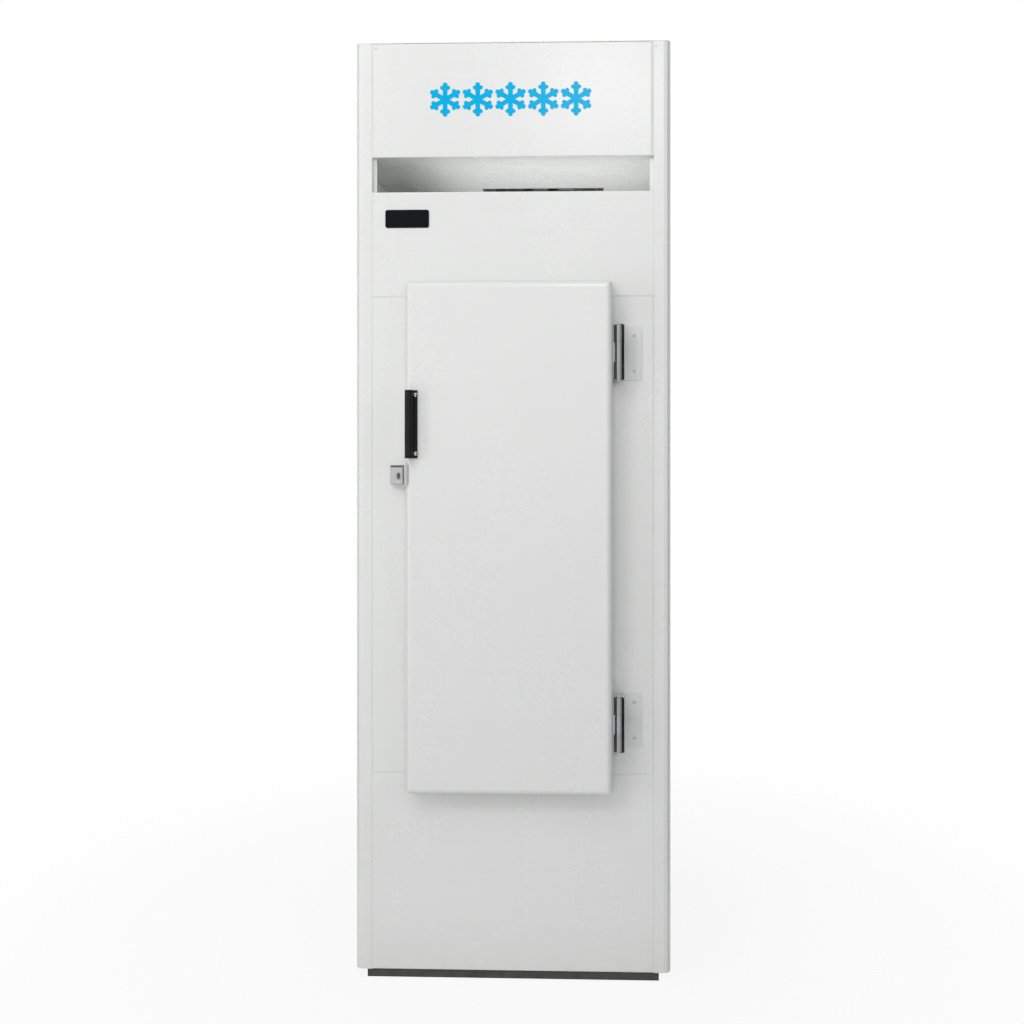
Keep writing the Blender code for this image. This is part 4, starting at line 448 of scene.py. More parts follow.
def polished(finish: Finish, graph: Graph) -> Skin:
    """Bright plating: a mirror with faint haze and hairline marks.

    Args:
        finish: The finish that it varies.
        graph: The material's graph.

    Returns:
        The plating's skin.
    """
    haze = graph.noise(30, 5)
    hair = graph.noise(10, 3, (18, 18, 90))
    colour = finish.tones(graph, haze, 0.90, 1.08)
    return Skin(colour, haze * 0.10 + hair * 0.05 + (finish.roughness - 0.08), hair, 0.000006)


def drawn(finish: Finish, graph: Graph) -> Skin:
    """Drawn tube and rolled fin: bright metal with dull and tarnished patches.

    Args:
        finish: The finish that it varies.
        graph: The material's graph.

    Returns:
        The metal's skin.
    """
    dull = graph.ramp(graph.noise(28, 5), (0.42, 0.0), (0.68, 1.0))
    line = graph.noise(120, 2)
    colour = finish.tones(graph, dull, 1.08, 0.62)
    return Skin(colour, dull * 0.20 + line * 0.06 + (finish.roughness - 0.05), line, 0.00003)


def hinge_plate(finish: Finish, graph: Graph) -> Skin:
    """Plated hinge leaf: a bright barrel round the pin, and a dull pale plate away from it.

    Args:
        finish: The finish that it varies.
        graph: The material's graph.

    Returns:
        The leaf's skin, metallic on the barrel alone.
    """
    low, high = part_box("hinge_pin_upper")
    pin = ((low.x + high.x) / 2, (low.y + high.y) / 2, 0)
    barrel = pin[0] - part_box("hinge_frame_leaf_upper")[0].x
    plate = graph.ramp(graph.away(pin, (1, 1, 0)) / (barrel * 2), (0.52, 0.0), (0.60, 1.0))
    haze = graph.noise(30, 5)
    bright = finish.tones(graph, haze, 0.92, 1.08)
    dull = graph.mix(haze, *DULL_PLATE)
    roughness = plate * 0.36 + haze * 0.06 + finish.roughness
    return Skin(graph.mix(plate, bright, dull), roughness, haze, 0.00001, 1.0 - plate * 0.9)


def foam(finish: Finish, graph: Graph) -> Skin:
    """Cut insulating foam: small open cells and yellowed patches.

    Args:
        finish: The finish that it varies.
        graph: The material's graph.

    Returns:
        The foam's skin.
    """
    cell = graph.cells(300)
    patch = graph.noise(6, 4)
    colour = finish.tones(graph, patch * 0.6 + cell * 0.4, 0.82, 1.10)
    return Skin(colour, cell * 0.08 + finish.roughness, cell, 0.0004)


def rubber(finish: Finish, graph: Graph) -> Skin:
    """Soft rubber: a dull bloom over a fine grain.

    Args:
        finish: The finish that it varies.
        graph: The material's graph.

    Returns:
        The rubber's skin.
    """
    bloom = graph.noise(18, 5)
    grain = graph.noise(700, 2)
    colour = finish.tones(graph, bloom, 0.86, 1.14)
    return Skin(colour, bloom * 0.10 + (finish.roughness - 0.05), grain, 0.00005)


def film(finish: Finish, graph: Graph) -> Skin:
    """Coloured adhesive film: almost even, with the sheet's slight ripple.

    Args:
        finish: The finish that it varies.
        graph: The material's graph.

    Returns:
        The film's skin.
    """
    ripple = graph.noise(45, 3)
    colour = finish.tones(graph, ripple, 0.95, 1.04)
    return Skin(colour, ripple * 0.05 + (finish.roughness - 0.02), ripple, 0.00003)


TEXTURES: dict[Texture, Callable[[Finish, Graph], Skin]] = {
    Texture.POWDER_COAT: powder_coat,
    Texture.MOULDED: moulded,
    Texture.KNURLED: knurled,
    Texture.SPANGLE: spangle,
    Texture.BRUSHED: brushed,
    Texture.POLISHED: polished,
    Texture.DRAWN: drawn,
    Texture.HINGE_PLATE: hinge_plate,
    Texture.FOAM: foam,
    Texture.RUBBER: rubber,
    Texture.FILM: film,
}

WHITE_ENAMEL = Finish("white_enamel", Texture.POWDER_COAT, (0.82, 0.83, 0.82), 0.27)
WHITE_PLASTIC = Finish("white_plastic", Texture.MOULDED, (0.80, 0.81, 0.80), 0.42)
GREY_PLASTIC = Finish("grey_plastic", Texture.MOULDED, (0.42, 0.43, 0.44), 0.55)
BLACK_PLASTIC = Finish("black_plastic", Texture.MOULDED, (0.010, 0.010, 0.011), 0.42, specular=0.2)
BLACK_ENAMEL = Finish("black_enamel", Texture.POWDER_COAT, (0.016, 0.016, 0.018), 0.38, specular=0.3)
PALE_FOAM = Finish("pale_foam", Texture.FOAM, (0.80, 0.70, 0.42), 0.85)
ZINC_SHEET = Finish("zinc_sheet", Texture.SPANGLE, (0.58, 0.60, 0.61), 0.42, 1.0)
BRIGHT_CHROME = Finish("bright_chrome", Texture.POLISHED, (0.78, 0.79, 0.80), 0.14, 1.0)
LOCK_CHROME = Finish("bright_chrome", Texture.BRUSHED, (0.62, 0.62, 0.62), 0.46, 0.25, name="lock_chrome")
SATIN_STEEL = Finish("satin_steel", Texture.BRUSHED, (0.62, 0.63, 0.64), 0.36, 1.0)
PALE_STEEL = Finish("satin_steel", Texture.BRUSHED, (0.58, 0.58, 0.58), 0.46, 0.25, name="pale_steel")
HINGE_STEEL = Finish("satin_steel", Texture.HINGE_PLATE, (0.70, 0.70, 0.71), 0.17, name="hinge_steel")
COPPER = Finish("copper", Texture.DRAWN, (0.72, 0.36, 0.20), 0.30, 1.0)
ALUMINIUM = Finish("aluminium", Texture.DRAWN, (0.74, 0.75, 0.76), 0.36, 1.0)
BLACK_RUBBER = Finish("black_rubber", Texture.RUBBER, (0.022, 0.022, 0.023), 0.78, specular=0.3)
PALE_RUBBER = Finish("pale_rubber", Texture.RUBBER, (0.60, 0.61, 0.61), 0.66)
GRIP_PLASTIC = Finish(
    "black_plastic", Texture.KNURLED, (0.009, 0.009, 0.010), 0.46, specular=0.2, name="grip"
)
SIGN_FILM = Finish("white_enamel", Texture.FILM, (0.0, 0.455, 0.810), 0.24, specular=0.1, name="sign")
PLATE_FILM = Finish("black_plastic", Texture.FILM, (0.003, 0.004, 0.005), 0.16, specular=0.2, name="plate")
SEALANT = Finish("white_plastic", Texture.MOULDED, (0.71, 0.72, 0.71), 0.45, name="sealant")
DARK_STEEL = Finish("satin_steel", Texture.BRUSHED, (0.19, 0.195, 0.20), 0.40, 1.0, name="dark_steel")

SLOT_FINISHES = {
    finish.slot: finish
    for finish in (
        WHITE_ENAMEL, WHITE_PLASTIC, GREY_PLASTIC, BLACK_PLASTIC, BLACK_ENAMEL, PALE_FOAM, ZINC_SHEET,
        BRIGHT_CHROME, SATIN_STEEL, COPPER, ALUMINIUM, BLACK_RUBBER, PALE_RUBBER,
    )
}


def verts_of(geometry: Iterable[object]) -> Verts:
    """Pick the points out of what an operator made."""
    return [item for item in geometry if isinstance(item, bmesh.types.BMVert)]


def edges_at(verts: Verts) -> Edges:
    """List the edges that meet the given points, each once."""
    return list(dict.fromkeys(edge for vert in verts for edge in vert.link_edges))


class Form:
    """A mesh in the making, shaped with bmesh operators."""

    def __init__(self) -> None:
        """Start an empty form."""
        self.mesh = bmesh.new()

    def everything(self) -> list[object]:
        """List every point, edge and face."""
        return self.mesh.verts[:] + self.mesh.edges[:] + self.mesh.faces[:]

    def line(self, points: Iterable[Place]) -> tuple[Verts, Edges]:
        """Draw a line from point to point, and give its points and its edges."""
        verts = [self.mesh.verts.new(point) for point in points]
        return verts, [self.mesh.edges.new(pair) for pair in zip(verts, verts[1:])]

    def put(self, verts: Verts, turn: Matrix, place: Place) -> None:
        """Turn points about the origin, then move them by a place."""
        bmesh.ops.rotate(self.mesh, verts=verts, cent=(0, 0, 0), matrix=turn)
        bmesh.ops.translate(self.mesh, vec=Vector(place), verts=verts)

    def block(self, low: Place, high: Place) -> Verts:
        """Add a block between two corners.

        Args:
            low: Its lowest corner.
            high: Its highest corner.

        Returns:
            Its corners.
        """
        low, high = Vector(low), Vector(high)
        verts = bmesh.ops.create_cube(self.mesh, size=1)["verts"]
        bmesh.ops.scale(self.mesh, vec=high - low, verts=verts)
        bmesh.ops.translate(self.mesh, vec=(low + high) / 2, verts=verts)
        return verts

    def soft_block(self, low: Place, high: Place, radius: float, segments: int = 2) -> None:
        """Add a block with all of its edges rounded."""
        self.bevel(edges_at(self.block(low, high)), radius, segments)

    def bevel(self, edges: Edges, radius: float, segments: int) -> None:
        """Round the given edges."""
        bmesh.ops.bevel(
            self.mesh, geom=edges, offset=radius, segments=segments, profile=0.5, affect="EDGES", material=-1
        )

    def thicken(self, offset: Place) -> None:
        """Make a solid of a flat form by extruding its faces by an offset."""
        raised = bmesh.ops.extrude_face_region(self.mesh, geom=self.mesh.faces[:])["geom"]
        bmesh.ops.translate(self.mesh, vec=offset, verts=verts_of(raised))

    def turned(self, profile: Sequence[tuple[float, float]], middle: Place, side: Side, steps: int) -> None:
        """Add a form spun from a profile of radii and distances from its middle, end to end."""
        verts, edges = self.line((radius, 0, along) for radius, along in profile)
        self.spun(verts, edges, middle, side, steps)

    def spun(self, verts: Verts, edges: Edges, middle: Place, side: Side, steps: int) -> None:
        """Spin a line or loop once round, then turn the form and set it in its place.

        Args:
            verts: The line's points.
            edges: Its edges.
            middle: Where distance 0 is.
            side: Which way the axis points.
            steps: How many steps the turn has.
        """
        before = set(self.mesh.verts) - set(verts)
        bmesh.ops.spin(
            self.mesh, geom=verts + edges, cent=(0, 0, 0), axis=(0, 0, 1), angle=FULL_TURN, steps=steps,
            use_merge=True,
        )
        made = [vert for vert in self.mesh.verts if vert not in before]
        bmesh.ops.remove_doubles(self.mesh, verts=made, dist=MERGE)
        made = [vert for vert in self.mesh.verts if vert not in before]
        self.put(made, side.turn(), middle)

    def wire_ring(self, middle: Place, side: Side, radius: float, wire: float, steps: int) -> None:
        """Add a ring of wire.

        Args:
            middle: The ring's middle.
            side: Which way its axis points.
            radius: From its middle to the middle of the wire.
            wire: The wire's radius.
            steps: How many steps the ring has.
        """
        circle = bmesh.ops.create_circle(self.mesh, segments=WIRE_SIDES, radius=wire)["verts"]
        self.put(circle, Matrix.Rotation(QUARTER_TURN, 3, "X"), (radius, 0, 0))
        self.spun(circle, edges_at(circle), middle, side, steps)

    def screw(self, place: Place, side: Side, radius: float, proud: float) -> None:
        """Add a round screw head with a drive recess, seated at a place."""
        profile = [(radius, -SEAT)] + [(radius * out, proud * up) for out, up in SCREW_HEAD]
        self.turned(profile, place, side, SCREW_STEPS)

    def to_object(self, name: str, material: bpy.types.Material) -> bpy.types.Object:
        """Turn the form into an object at the origin.

        Args:
            name: The object's name.
            material: Its one material.

        Returns:
            The object.
        """
        mesh = bpy.data.meshes.new(name)
        self.mesh.to_mesh(mesh)
        self.mesh.free()
        mesh.materials.append(material)
        return add_object(name, mesh)

    def piece(self, name: str, finish: Finish, body: str, *replaced: str) -> None:
        """Finish the form as a named piece that rides on a body.

        Args:
            name: The piece's name.
            finish: The finish it shows.
            body: The CAD body that it moves with.
            *replaced: The CAD nodes that it stands for.
        """
        bmesh.ops.remove_doubles(self.mesh, verts=self.mesh.verts, dist=MERGE)
        bmesh.ops.recalc_face_normals(self.mesh, faces=self.mesh.faces)
        made = self.to_object(name, finish.material())
        made.data.shade_smooth()
        made.data.set_sharp_from_angle(angle=SMOOTH_ANGLE)
        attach(made, body)
        if replaced:
            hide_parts(*replaced)
        log.info("%s: %d faces on %s", name, len(made.data.polygons), body)


@dataclass
class CadDress:
    """The finishes of the CAD nodes, by the record's slots, with a few nodes apart."""

    own_finishes: dict[str, Finish] = field(
        default_factory=lambda: {
            "lock_case": LOCK_CHROME,
            "lock_plug": LOCK_CHROME,
            "door_strike": PALE_STEEL,
            "hinge_frame_leaf_upper": HINGE_STEEL,
            "hinge_frame_leaf_lower": HINGE_STEEL,
        }
    )

    def build(self) -> None:
        """Give every CAD node its finish."""
        slots = {entry["node"]: entry["material_slot"] for entry in frame["record"]["subparts"]}
        for name, node in frame["nodes"].items():
            finish = self.own_finishes.get(name, SLOT_FINISHES[slots[name]])
            node.data.materials.clear()
            node.data.materials.append(finish.material())
            log.info("%s: %s", name, finish.texture.value)


@dataclass
class HeaderSign:
    """A row of plain snowflakes in blue film, where the header carries its sign."""

    flakes: int = 5
    arms: int = 6
    shift_x: float = -0.0024
    shift_z: float = 0.001
    pitch: float = 0.0717
    reach: float = 0.0375
    arm: float = 0.0052
    branch: float = 0.0042
    branch_start: float = 0.0222
    branch_length: float = 0.0122
    rounding: float = 0.94
    round_steps: int = 5
    weld: float = 0.00001
    thickness: float = 0.0004

    @property
    def turn(self) -> float:
        """Give the angle from one arm to the next, which is also that of a branch to its arm."""
        return FULL_TURN / self.arms

    def half_arm(self, form: Form) -> None:
        """Draw the right half of the upright arm, with its side branch, as one face.

        Args:
            form: The form that takes it.
        """
        along = Vector((math.sin(self.turn), 0, math.cos(self.turn)))
        across = Vector((along.z, 0, -along.x)) * self.branch
        root = Vector((0, 0, self.branch_start))
        tip = root + along * self.branch_length
        lower = root + across + along * ((self.arm - across.x) / along.x)
        upper = root - across + along * ((self.arm + across.x) / along.x)
        outline = [
            (0, 0, 0),
            (self.arm, 0, self.arm * math.tan(self.turn)),
            lower,
            tip + across,
            tip - across,
            upper,
            (self.arm, 0, self.reach),
            (0, 0, self.reach),
        ]
        verts = [form.mesh.verts.new(point) for point in outline]
        form.mesh.faces.new(verts)
        for ends, radius in ((verts[3:5], self.branch), (verts[6:7], self.arm)):
            bmesh.ops.bevel(
                form.mesh, geom=ends, offset=radius * self.rounding, segments=self.round_steps, profile=0.5,
                affect="VERTICES", material=-1,
            )

    def build(self) -> None:
        """Cut the snowflakes and lay them on the header."""
        form = Form()
        mesh = form.mesh
        self.half_arm(form)
        bmesh.ops.mirror(mesh, geom=form.everything(), matrix=Matrix.Identity(4), merge_dist=MERGE, axis="X")
        bmesh.ops.spin(
            mesh, geom=form.everything(), cent=(0, 0, 0), axis=(0, 1, 0), angle=self.turn * (self.arms - 1),
            steps=self.arms - 1, use_duplicate=True,
        )
        bmesh.ops.remove_doubles(mesh, verts=mesh.verts, dist=self.weld)
        form.thicken((0, -self.thickness, 0))
        first = form.everything()
        for index in range(1, self.flakes):
            copy = bmesh.ops.duplicate(mesh, geom=first)["geom"]
            bmesh.ops.translate(mesh, vec=(self.pitch * index, 0, 0), verts=verts_of(copy))
        middle = middle_at("header_panel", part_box("header_panel")[0].y - SEAT)
        middle += Vector((self.shift_x - self.pitch * (self.flakes - 1) / 2, 0, self.shift_z))
        bmesh.ops.translate(mesh, vec=middle, verts=mesh.verts)
        form.piece("header_snowflakes", SIGN_FILM, "cabinet")


@dataclass
class FrontPlate:
    """The bare black plate with round corners under the air slot."""

    from_left: float = 0.0285
    from_top: float = 0.0392
    width: float = 0.096
    height: float = 0.0396
    thickness: float = 0.0016
    corner: float = 0.005
    corner_steps: int = 5
    rim: float = 0.0014
    rim_depth: float = 0.0004

    def build(self) -> None:
        """Make the plate with its round corners and its sunk face."""
        low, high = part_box("upper_front_panel")
        left, top, seat = low.x + self.from_left, high.z - self.from_top, low.y - SEAT
        form = Form()
        form.block((left, seat - self.thickness, top - self.height), (left + self.width, seat, top))
        upright = [edge for edge in form.mesh.edges if abs(edge.verts[0].co.y - edge.verts[1].co.y) > MERGE]
        form.bevel(upright, self.corner, self.corner_steps)
        front = min(form.mesh.faces, key=lambda face: face.calc_center_median().y)
        bmesh.ops.inset_region(form.mesh, faces=[front], thickness=self.rim, use_even_offset=True)
        bmesh.ops.inset_region(form.mesh, faces=[front], thickness=self.rim_depth, depth=-self.rim_depth)
        form.piece("front_plate", PLATE_FILM, "cabinet")


@dataclass
class PullHandle:
    """The black pull: a folded strip with round bends and a field of raised diamonds."""

    thickness: float = 0.0035
    foot: float = 0.0125
    end_wall: float = 0.004
    end_lap: float = 0.0014
    curl: float = 0.007
    bend: float = 0.0034
    bend_steps: int = 4
    set_back: float = 0.0006
    edge: float = 0.0005
    pitch: float = 0.0036
    field_inset: float = 0.003
    stud_sides: int = 4
    stud_foot: float = 0.52
    stud_top: float = 0.2
    stagger: float = 0.25

    def strip(self, low: Vector, high: Vector) -> Form:
        """Fold the strip from its path.

        Args:
            low: The lowest corner of the CAD handle.
            high: Its highest corner.

        Returns:
            The folded strip.
        """
        form = Form()
        wall = high.x - self.foot
        front = low.y + self.set_back + self.thickness
        tip = low.x + self.thickness
        path = [(high.x, high.y), (wall, high.y), (wall, front), (tip, front), (tip, front + self.curl)]
        _, edges = form.line((x, y, low.z) for x, y in path)
        raised = bmesh.ops.extrude_edge_only(form.mesh, edges=edges)["geom"]
        bmesh.ops.translate(form.mesh, vec=(0, 0, high.z - low.z), verts=verts_of(raised))
        folds = [edge for edge in form.mesh.edges if len(edge.link_faces) == 2]
        form.bevel(folds, self.bend, self.bend_steps)
        bmesh.ops.recalc_face_normals(form.mesh, faces=form.mesh.faces)
        grip = min(form.mesh.faces, key=lambda face: face.calc_center_median().y)
        if grip.normal.y > 0:
            bmesh.ops.reverse_faces(form.mesh, faces=form.mesh.faces)
        bmesh.ops.solidify(form.mesh, geom=form.mesh.faces[:], thickness=-self.thickness)
        return form

    def build(self) -> None:
        """Make the pull and its raised grip."""
        low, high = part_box("door_handle")
        form = self.strip(low, high)
        wall = high.x - self.foot
        front = low.y + self.set_back
        free = self.thickness - self.end_lap
        for bottom in (low.z, high.z - self.end_wall):
            form.soft_block(
                (low.x + free, front + free, bottom),
                (wall + self.end_lap, high.y - self.edge, bottom + self.end_wall),
                self.edge,
            )
        form.piece("door_pull", BLACK_PLASTIC, "door", "door_handle")
        form = Form()
        self.diamonds(form, (low.x + self.edge, wall - self.edge), (low.z, high.z), front)
        rows = (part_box("handle_screw_lower")[1].z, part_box("handle_screw_upper")[0].z)
        self.diamonds(form, (wall + self.thickness, high.x - self.edge), rows, high.y - self.thickness)
        form.piece("door_pull_grip", GRIP_PLASTIC, "door")

    def diamonds(self, form: Form, across: tuple[float, float], up: tuple[float, float], face: float) -> None:
        """Fill a field with rows of small four-sided studs.

        Args:
            form: The form that takes them.
            across: Where the field starts and ends along X.
            up: Where it starts and ends along Z.
            face: The surface that the studs stand on.
        """
        columns = int((across[1] - across[0]) / self.pitch)
        rows = int((up[1] - up[0] - 2 * self.field_inset) / self.pitch)
        for row in range(rows):
            shift = self.stagger if row % 2 else 0.0
            for column in range(columns):
                verts = bmesh.ops.create_cone(
                    form.mesh, cap_ends=True, segments=self.stud_sides, radius1=self.pitch * self.stud_foot,
                    radius2=self.pitch * self.stud_top, depth=self.set_back,
                )["verts"]
                place = (
                    across[0] + self.pitch * (column + 0.5 + shift),
                    face - self.set_back / 2,
                    up[0] + self.field_inset + self.pitch * (row + 0.5),
                )
                form.put(verts, Side.FRONT.turn(), place)


@dataclass
class LockTrim:
    """What shows on the lock's face: a dark band of painted shade along its top edge, a fine ring round the
    plug and the key shutter.
    """

    # The height and edge rounding of the dark band of painted shade along the case's top.
    shade_band_height: float = 0.0042
    shade_band_edge: float = 0.0002
    proud: float = 0.0005
    ring_wall: float = 0.0011
    ring_gap: float = 0.0006
    ring_edge: float = 0.00025
    shutter: tuple[float, float] = (0.0040, 0.0068)
    keyway: tuple[float, float] = (0.0011, 0.0045)
    shutter_sheet: float = 0.0004
    wafer_sunk: float = 0.0006
    wafer_edge: float = 0.0001
    steps: int = 32

    def oval(self, form: Form, half: tuple[float, float]) -> Edges:
        """Draw a level oval loop.

        Args:
            form: The form that takes it.
            half: Its half width and its half height.

        Returns:
            Its edges.
        """
        verts = bmesh.ops.create_circle(form.mesh, segments=self.steps, radius=1)["verts"]
        bmesh.ops.scale(form.mesh, vec=(half[0], half[1], 1), verts=verts)
        return edges_at(verts)

    def key_shutter(self) -> None:
        """Make the dark oval shutter with its slot on the plug's face, which turns with the key."""
        form = Form()
        bmesh.ops.bridge_loops(form.mesh, edges=self.oval(form, self.shutter) + self.oval(form, self.keyway))
        form.thicken((0, 0, self.shutter_sheet))
        middle = middle_at("lock_plug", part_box("lock_plug")[0].y + SEAT)
        form.put(form.mesh.verts[:], Side.FRONT.turn(), middle)
        inner = [half - SEAT for half in self.keyway]
        form.soft_block(
            middle + Vector((-inner[0], self.wafer_sunk, -inner[1])),
            middle + Vector((inner[0], self.wafer_sunk + self.shutter_sheet, inner[1])),
            self.wafer_edge, segments=1,
        )
        form.piece("lock_key_shutter", DARK_STEEL, "key_plug")

    def build(self) -> None:
        """Make the dark band of painted shade along the top of the case, the ring round the plug and the
        shutter.
        """
        low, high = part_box("lock_case")
        face = low.y
        top = high.z - self.proud
        # The dark steel band is painted shade: it stands for the shadow and the dark reflection along the
        # case's top edge.
        form = Form()
        form.soft_block(
            (low.x + self.proud, face - self.proud, top - self.shade_band_height),
            (high.x - self.proud, face + SEAT, top),
            self.shade_band_edge,
        )
        form.piece("lock_top_painted_shade", DARK_STEEL, "cabinet")
        low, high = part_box("lock_plug")
        radius = (high.z - low.z) / 2 + self.ring_gap
        outside = radius + self.ring_wall
        crown, foot = (outside, self.ring_edge), (outside, -SEAT)
        profile = [(radius, -SEAT), (radius, self.proud), crown, foot, (radius, -SEAT)]
        form = Form()
        form.turned(profile, middle_at("lock_plug", face), Side.FRONT, self.steps)
        form.piece("lock_plug_ring", LOCK_CHROME, "cabinet")
        self.key_shutter()


@dataclass
class HingeTrim:
    """The low screws of the frame-side hinge leaves."""

    radius: float = 0.0040
    proud: float = 0.0006
    margin_z: float = 0.020
    leaf: float = 0.003
    from_edge: float = 0.0167

    def build(self) -> None:
        """Set two screws in each leaf."""
        for label in ("upper", "lower"):
            low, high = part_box(f"hinge_frame_leaf_{label}")
            across, seat = high.x - self.from_edge, high.y - self.leaf
            form = Form()
            for height in (low.z + self.margin_z, high.z - self.margin_z):
                form.screw((across, seat, height), Side.FRONT, self.radius, self.proud)
            form.piece(f"hinge_screws_{label}", PALE_STEEL, "cabinet")


@dataclass
class SeamBeads:
    """The white sealant that lies in the seams between the front panels and the side flanges."""

    sunk: float = 0.0007
    depth: float = 0.0030
    lap: float = 0.0010
    edge: float = 0.0003
    fold_gap: float = 0.0003

    def bead(self, form: Form, left: float, right: float, bottom: float, top: float) -> None:
        """Lay one bead, which laps a little way behind the edges that it joins."""
        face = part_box("header_panel")[0].y + self.sunk
        form.soft_block((left, face, bottom), (right, face + self.depth, top), self.edge, segments=1)

    def build(self) -> None:
        """Lay the upright beads beside each panel, then the level ones above and below the stiles."""
        form = Form()
        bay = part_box("upper_front_panel")[1].x + self.fold_gap
        for panel in ("lower_front_panel", "upper_front_panel", "header_panel"):
            low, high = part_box(panel)
            self.bead(form, -bay - self.lap, low.x + self.lap, low.z, high.z)
            self.bead(form, high.x - self.lap, bay + self.lap, low.z, high.z)
        bottom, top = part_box("lower_front_panel")[1].z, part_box("upper_front_panel")[0].z
        for stile in ("front_stile_left", "front_stile_right"):
            low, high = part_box(stile)
            edge = low.x if low.x < 0 else high.x
            left, right = sorted((edge, math.copysign(bay, edge)))
            self.bead(form, left - self.lap, right + self.lap, low.z, high.z)
            self.bead(form, low.x, high.x, bottom - self.lap, low.z + self.lap)
            self.bead(form, low.x, high.x, high.z - self.lap, top + self.lap)
        form.piece("seam_beads", SEALANT, "cabinet")


@dataclass
class CaseFasteners:
    """The small screws that hold the case together, at the back and beside the header."""

    radius: float = 0.0040
    proud: float = 0.0016
    rows: int = 8
    flange: float = 0.011
    edge: float = 0.030
    middle_pitch: float = 0.220
    middle_down: float = 0.015
    small: float = 0.0026
    small_proud: float = 0.00065
    header_left: float = 0.0055
    header_right: float = 0.0099
    header_down: float = 0.0099

    def build(self) -> None:
        """Set the screws of the back and of the header."""
        low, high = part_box("side_panel_right")
        step = (high.z - low.z - 2 * self.edge) / (self.rows - 1)
        places = [
            (side * (high.x - self.flange), high.y, low.z + self.edge + step * row)
            for row in range(self.rows)
            for side in (-1, 1)
        ]
        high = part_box("rear_panel")[1]
        places += [(across * self.middle_pitch, high.y, high.z - self.middle_down) for across in (-1, 0, 1)]
        form = Form()
        for place in places:
            form.screw(place, Side.BACK, self.radius, self.proud)
        form.piece("rear_screws", ZINC_SHEET, "cabinet")
        low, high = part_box("header_panel")
        form = Form()
        for across in (low.x + self.header_left, high.x + self.header_right):
            form.screw((across, low.y, high.z - self.header_down), Side.FRONT, self.small, self.small_proud)
        form.piece("header_screws", SATIN_STEEL, "cabinet")


@dataclass
class CloseFins:
    """The thin fins that fill a coil between the solid ones."""

    node: str
    name: str
    pitch: float = 0.0042
    thickness: float = 0.0002
    inset: float = 0.0006
    bend_room: float = 0.0233
    bottom_room: float = 0.0022
    top_room: float = 0.0005

    def build(self) -> None:
        """Stand the fins side by side over the coil's length."""
        low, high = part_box(self.node)
        left, right = low.x + self.bend_room, high.x - self.bend_room
        count = int((right - left) / self.pitch)
        form = Form()
        for index in range(count):
            across = left + (right - left) * (index + 0.5) / count
            form.block(
                (across, low.y + self.inset, low.z + self.bottom_room),
                (across + self.thickness, high.y - self.inset, high.z - self.top_room),
            )
        form.piece(self.name, ALUMINIUM, "cabinet")


@dataclass
class FanGuard:
    """A round guard of wire rings and spokes in front of a fan."""

    fan: str = "evaporator_fan"
    motor: str = "evaporator_fan_motor"
    housing: str = "evaporator_housing"
    room: float = 0.012
    wire: float = 0.0011
    rings: int = 5
    spokes: int = 8
    stand: float = 0.006
    steps: int = 48

    def build(self) -> None:
        """Make the rings, the spokes and the feet of the guard."""
        low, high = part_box(self.fan)
        radius = (high.z - low.z) / 2 + self.room
        inner = radius / self.rings
        middle = middle_at(self.motor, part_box(self.housing)[0].y)
        out = Vector(Side.FRONT.value)
        face = middle + out * self.stand
        post = [(0, -SEAT), (self.wire, -SEAT), (self.wire, self.stand), (0, self.stand)]
        form = Form()
        for ring in range(1, self.rings + 1):
            form.wire_ring(face, Side.FRONT, radius * ring / self.rings, self.wire, self.steps)
        for spoke in range(self.spokes):
            verts = bmesh.ops.create_cone(
                form.mesh, cap_ends=True, segments=WIRE_SIDES, radius1=self.wire, radius2=self.wire,
                depth=radius - inner,
            )["verts"]
            bmesh.ops.translate(form.mesh, vec=(0, 0, (radius + inner) / 2), verts=verts)
            turn = Matrix.Rotation(FULL_TURN * spoke / self.spokes, 3, "Y")
            form.put(verts, turn, face + out * self.wire)
            if spoke % 2:
                form.turned(post, middle + turn @ Vector((0, 0, radius)), Side.FRONT, WIRE_SIDES)
        form.piece(f"{self.fan}_guard", SATIN_STEEL, "cabinet")


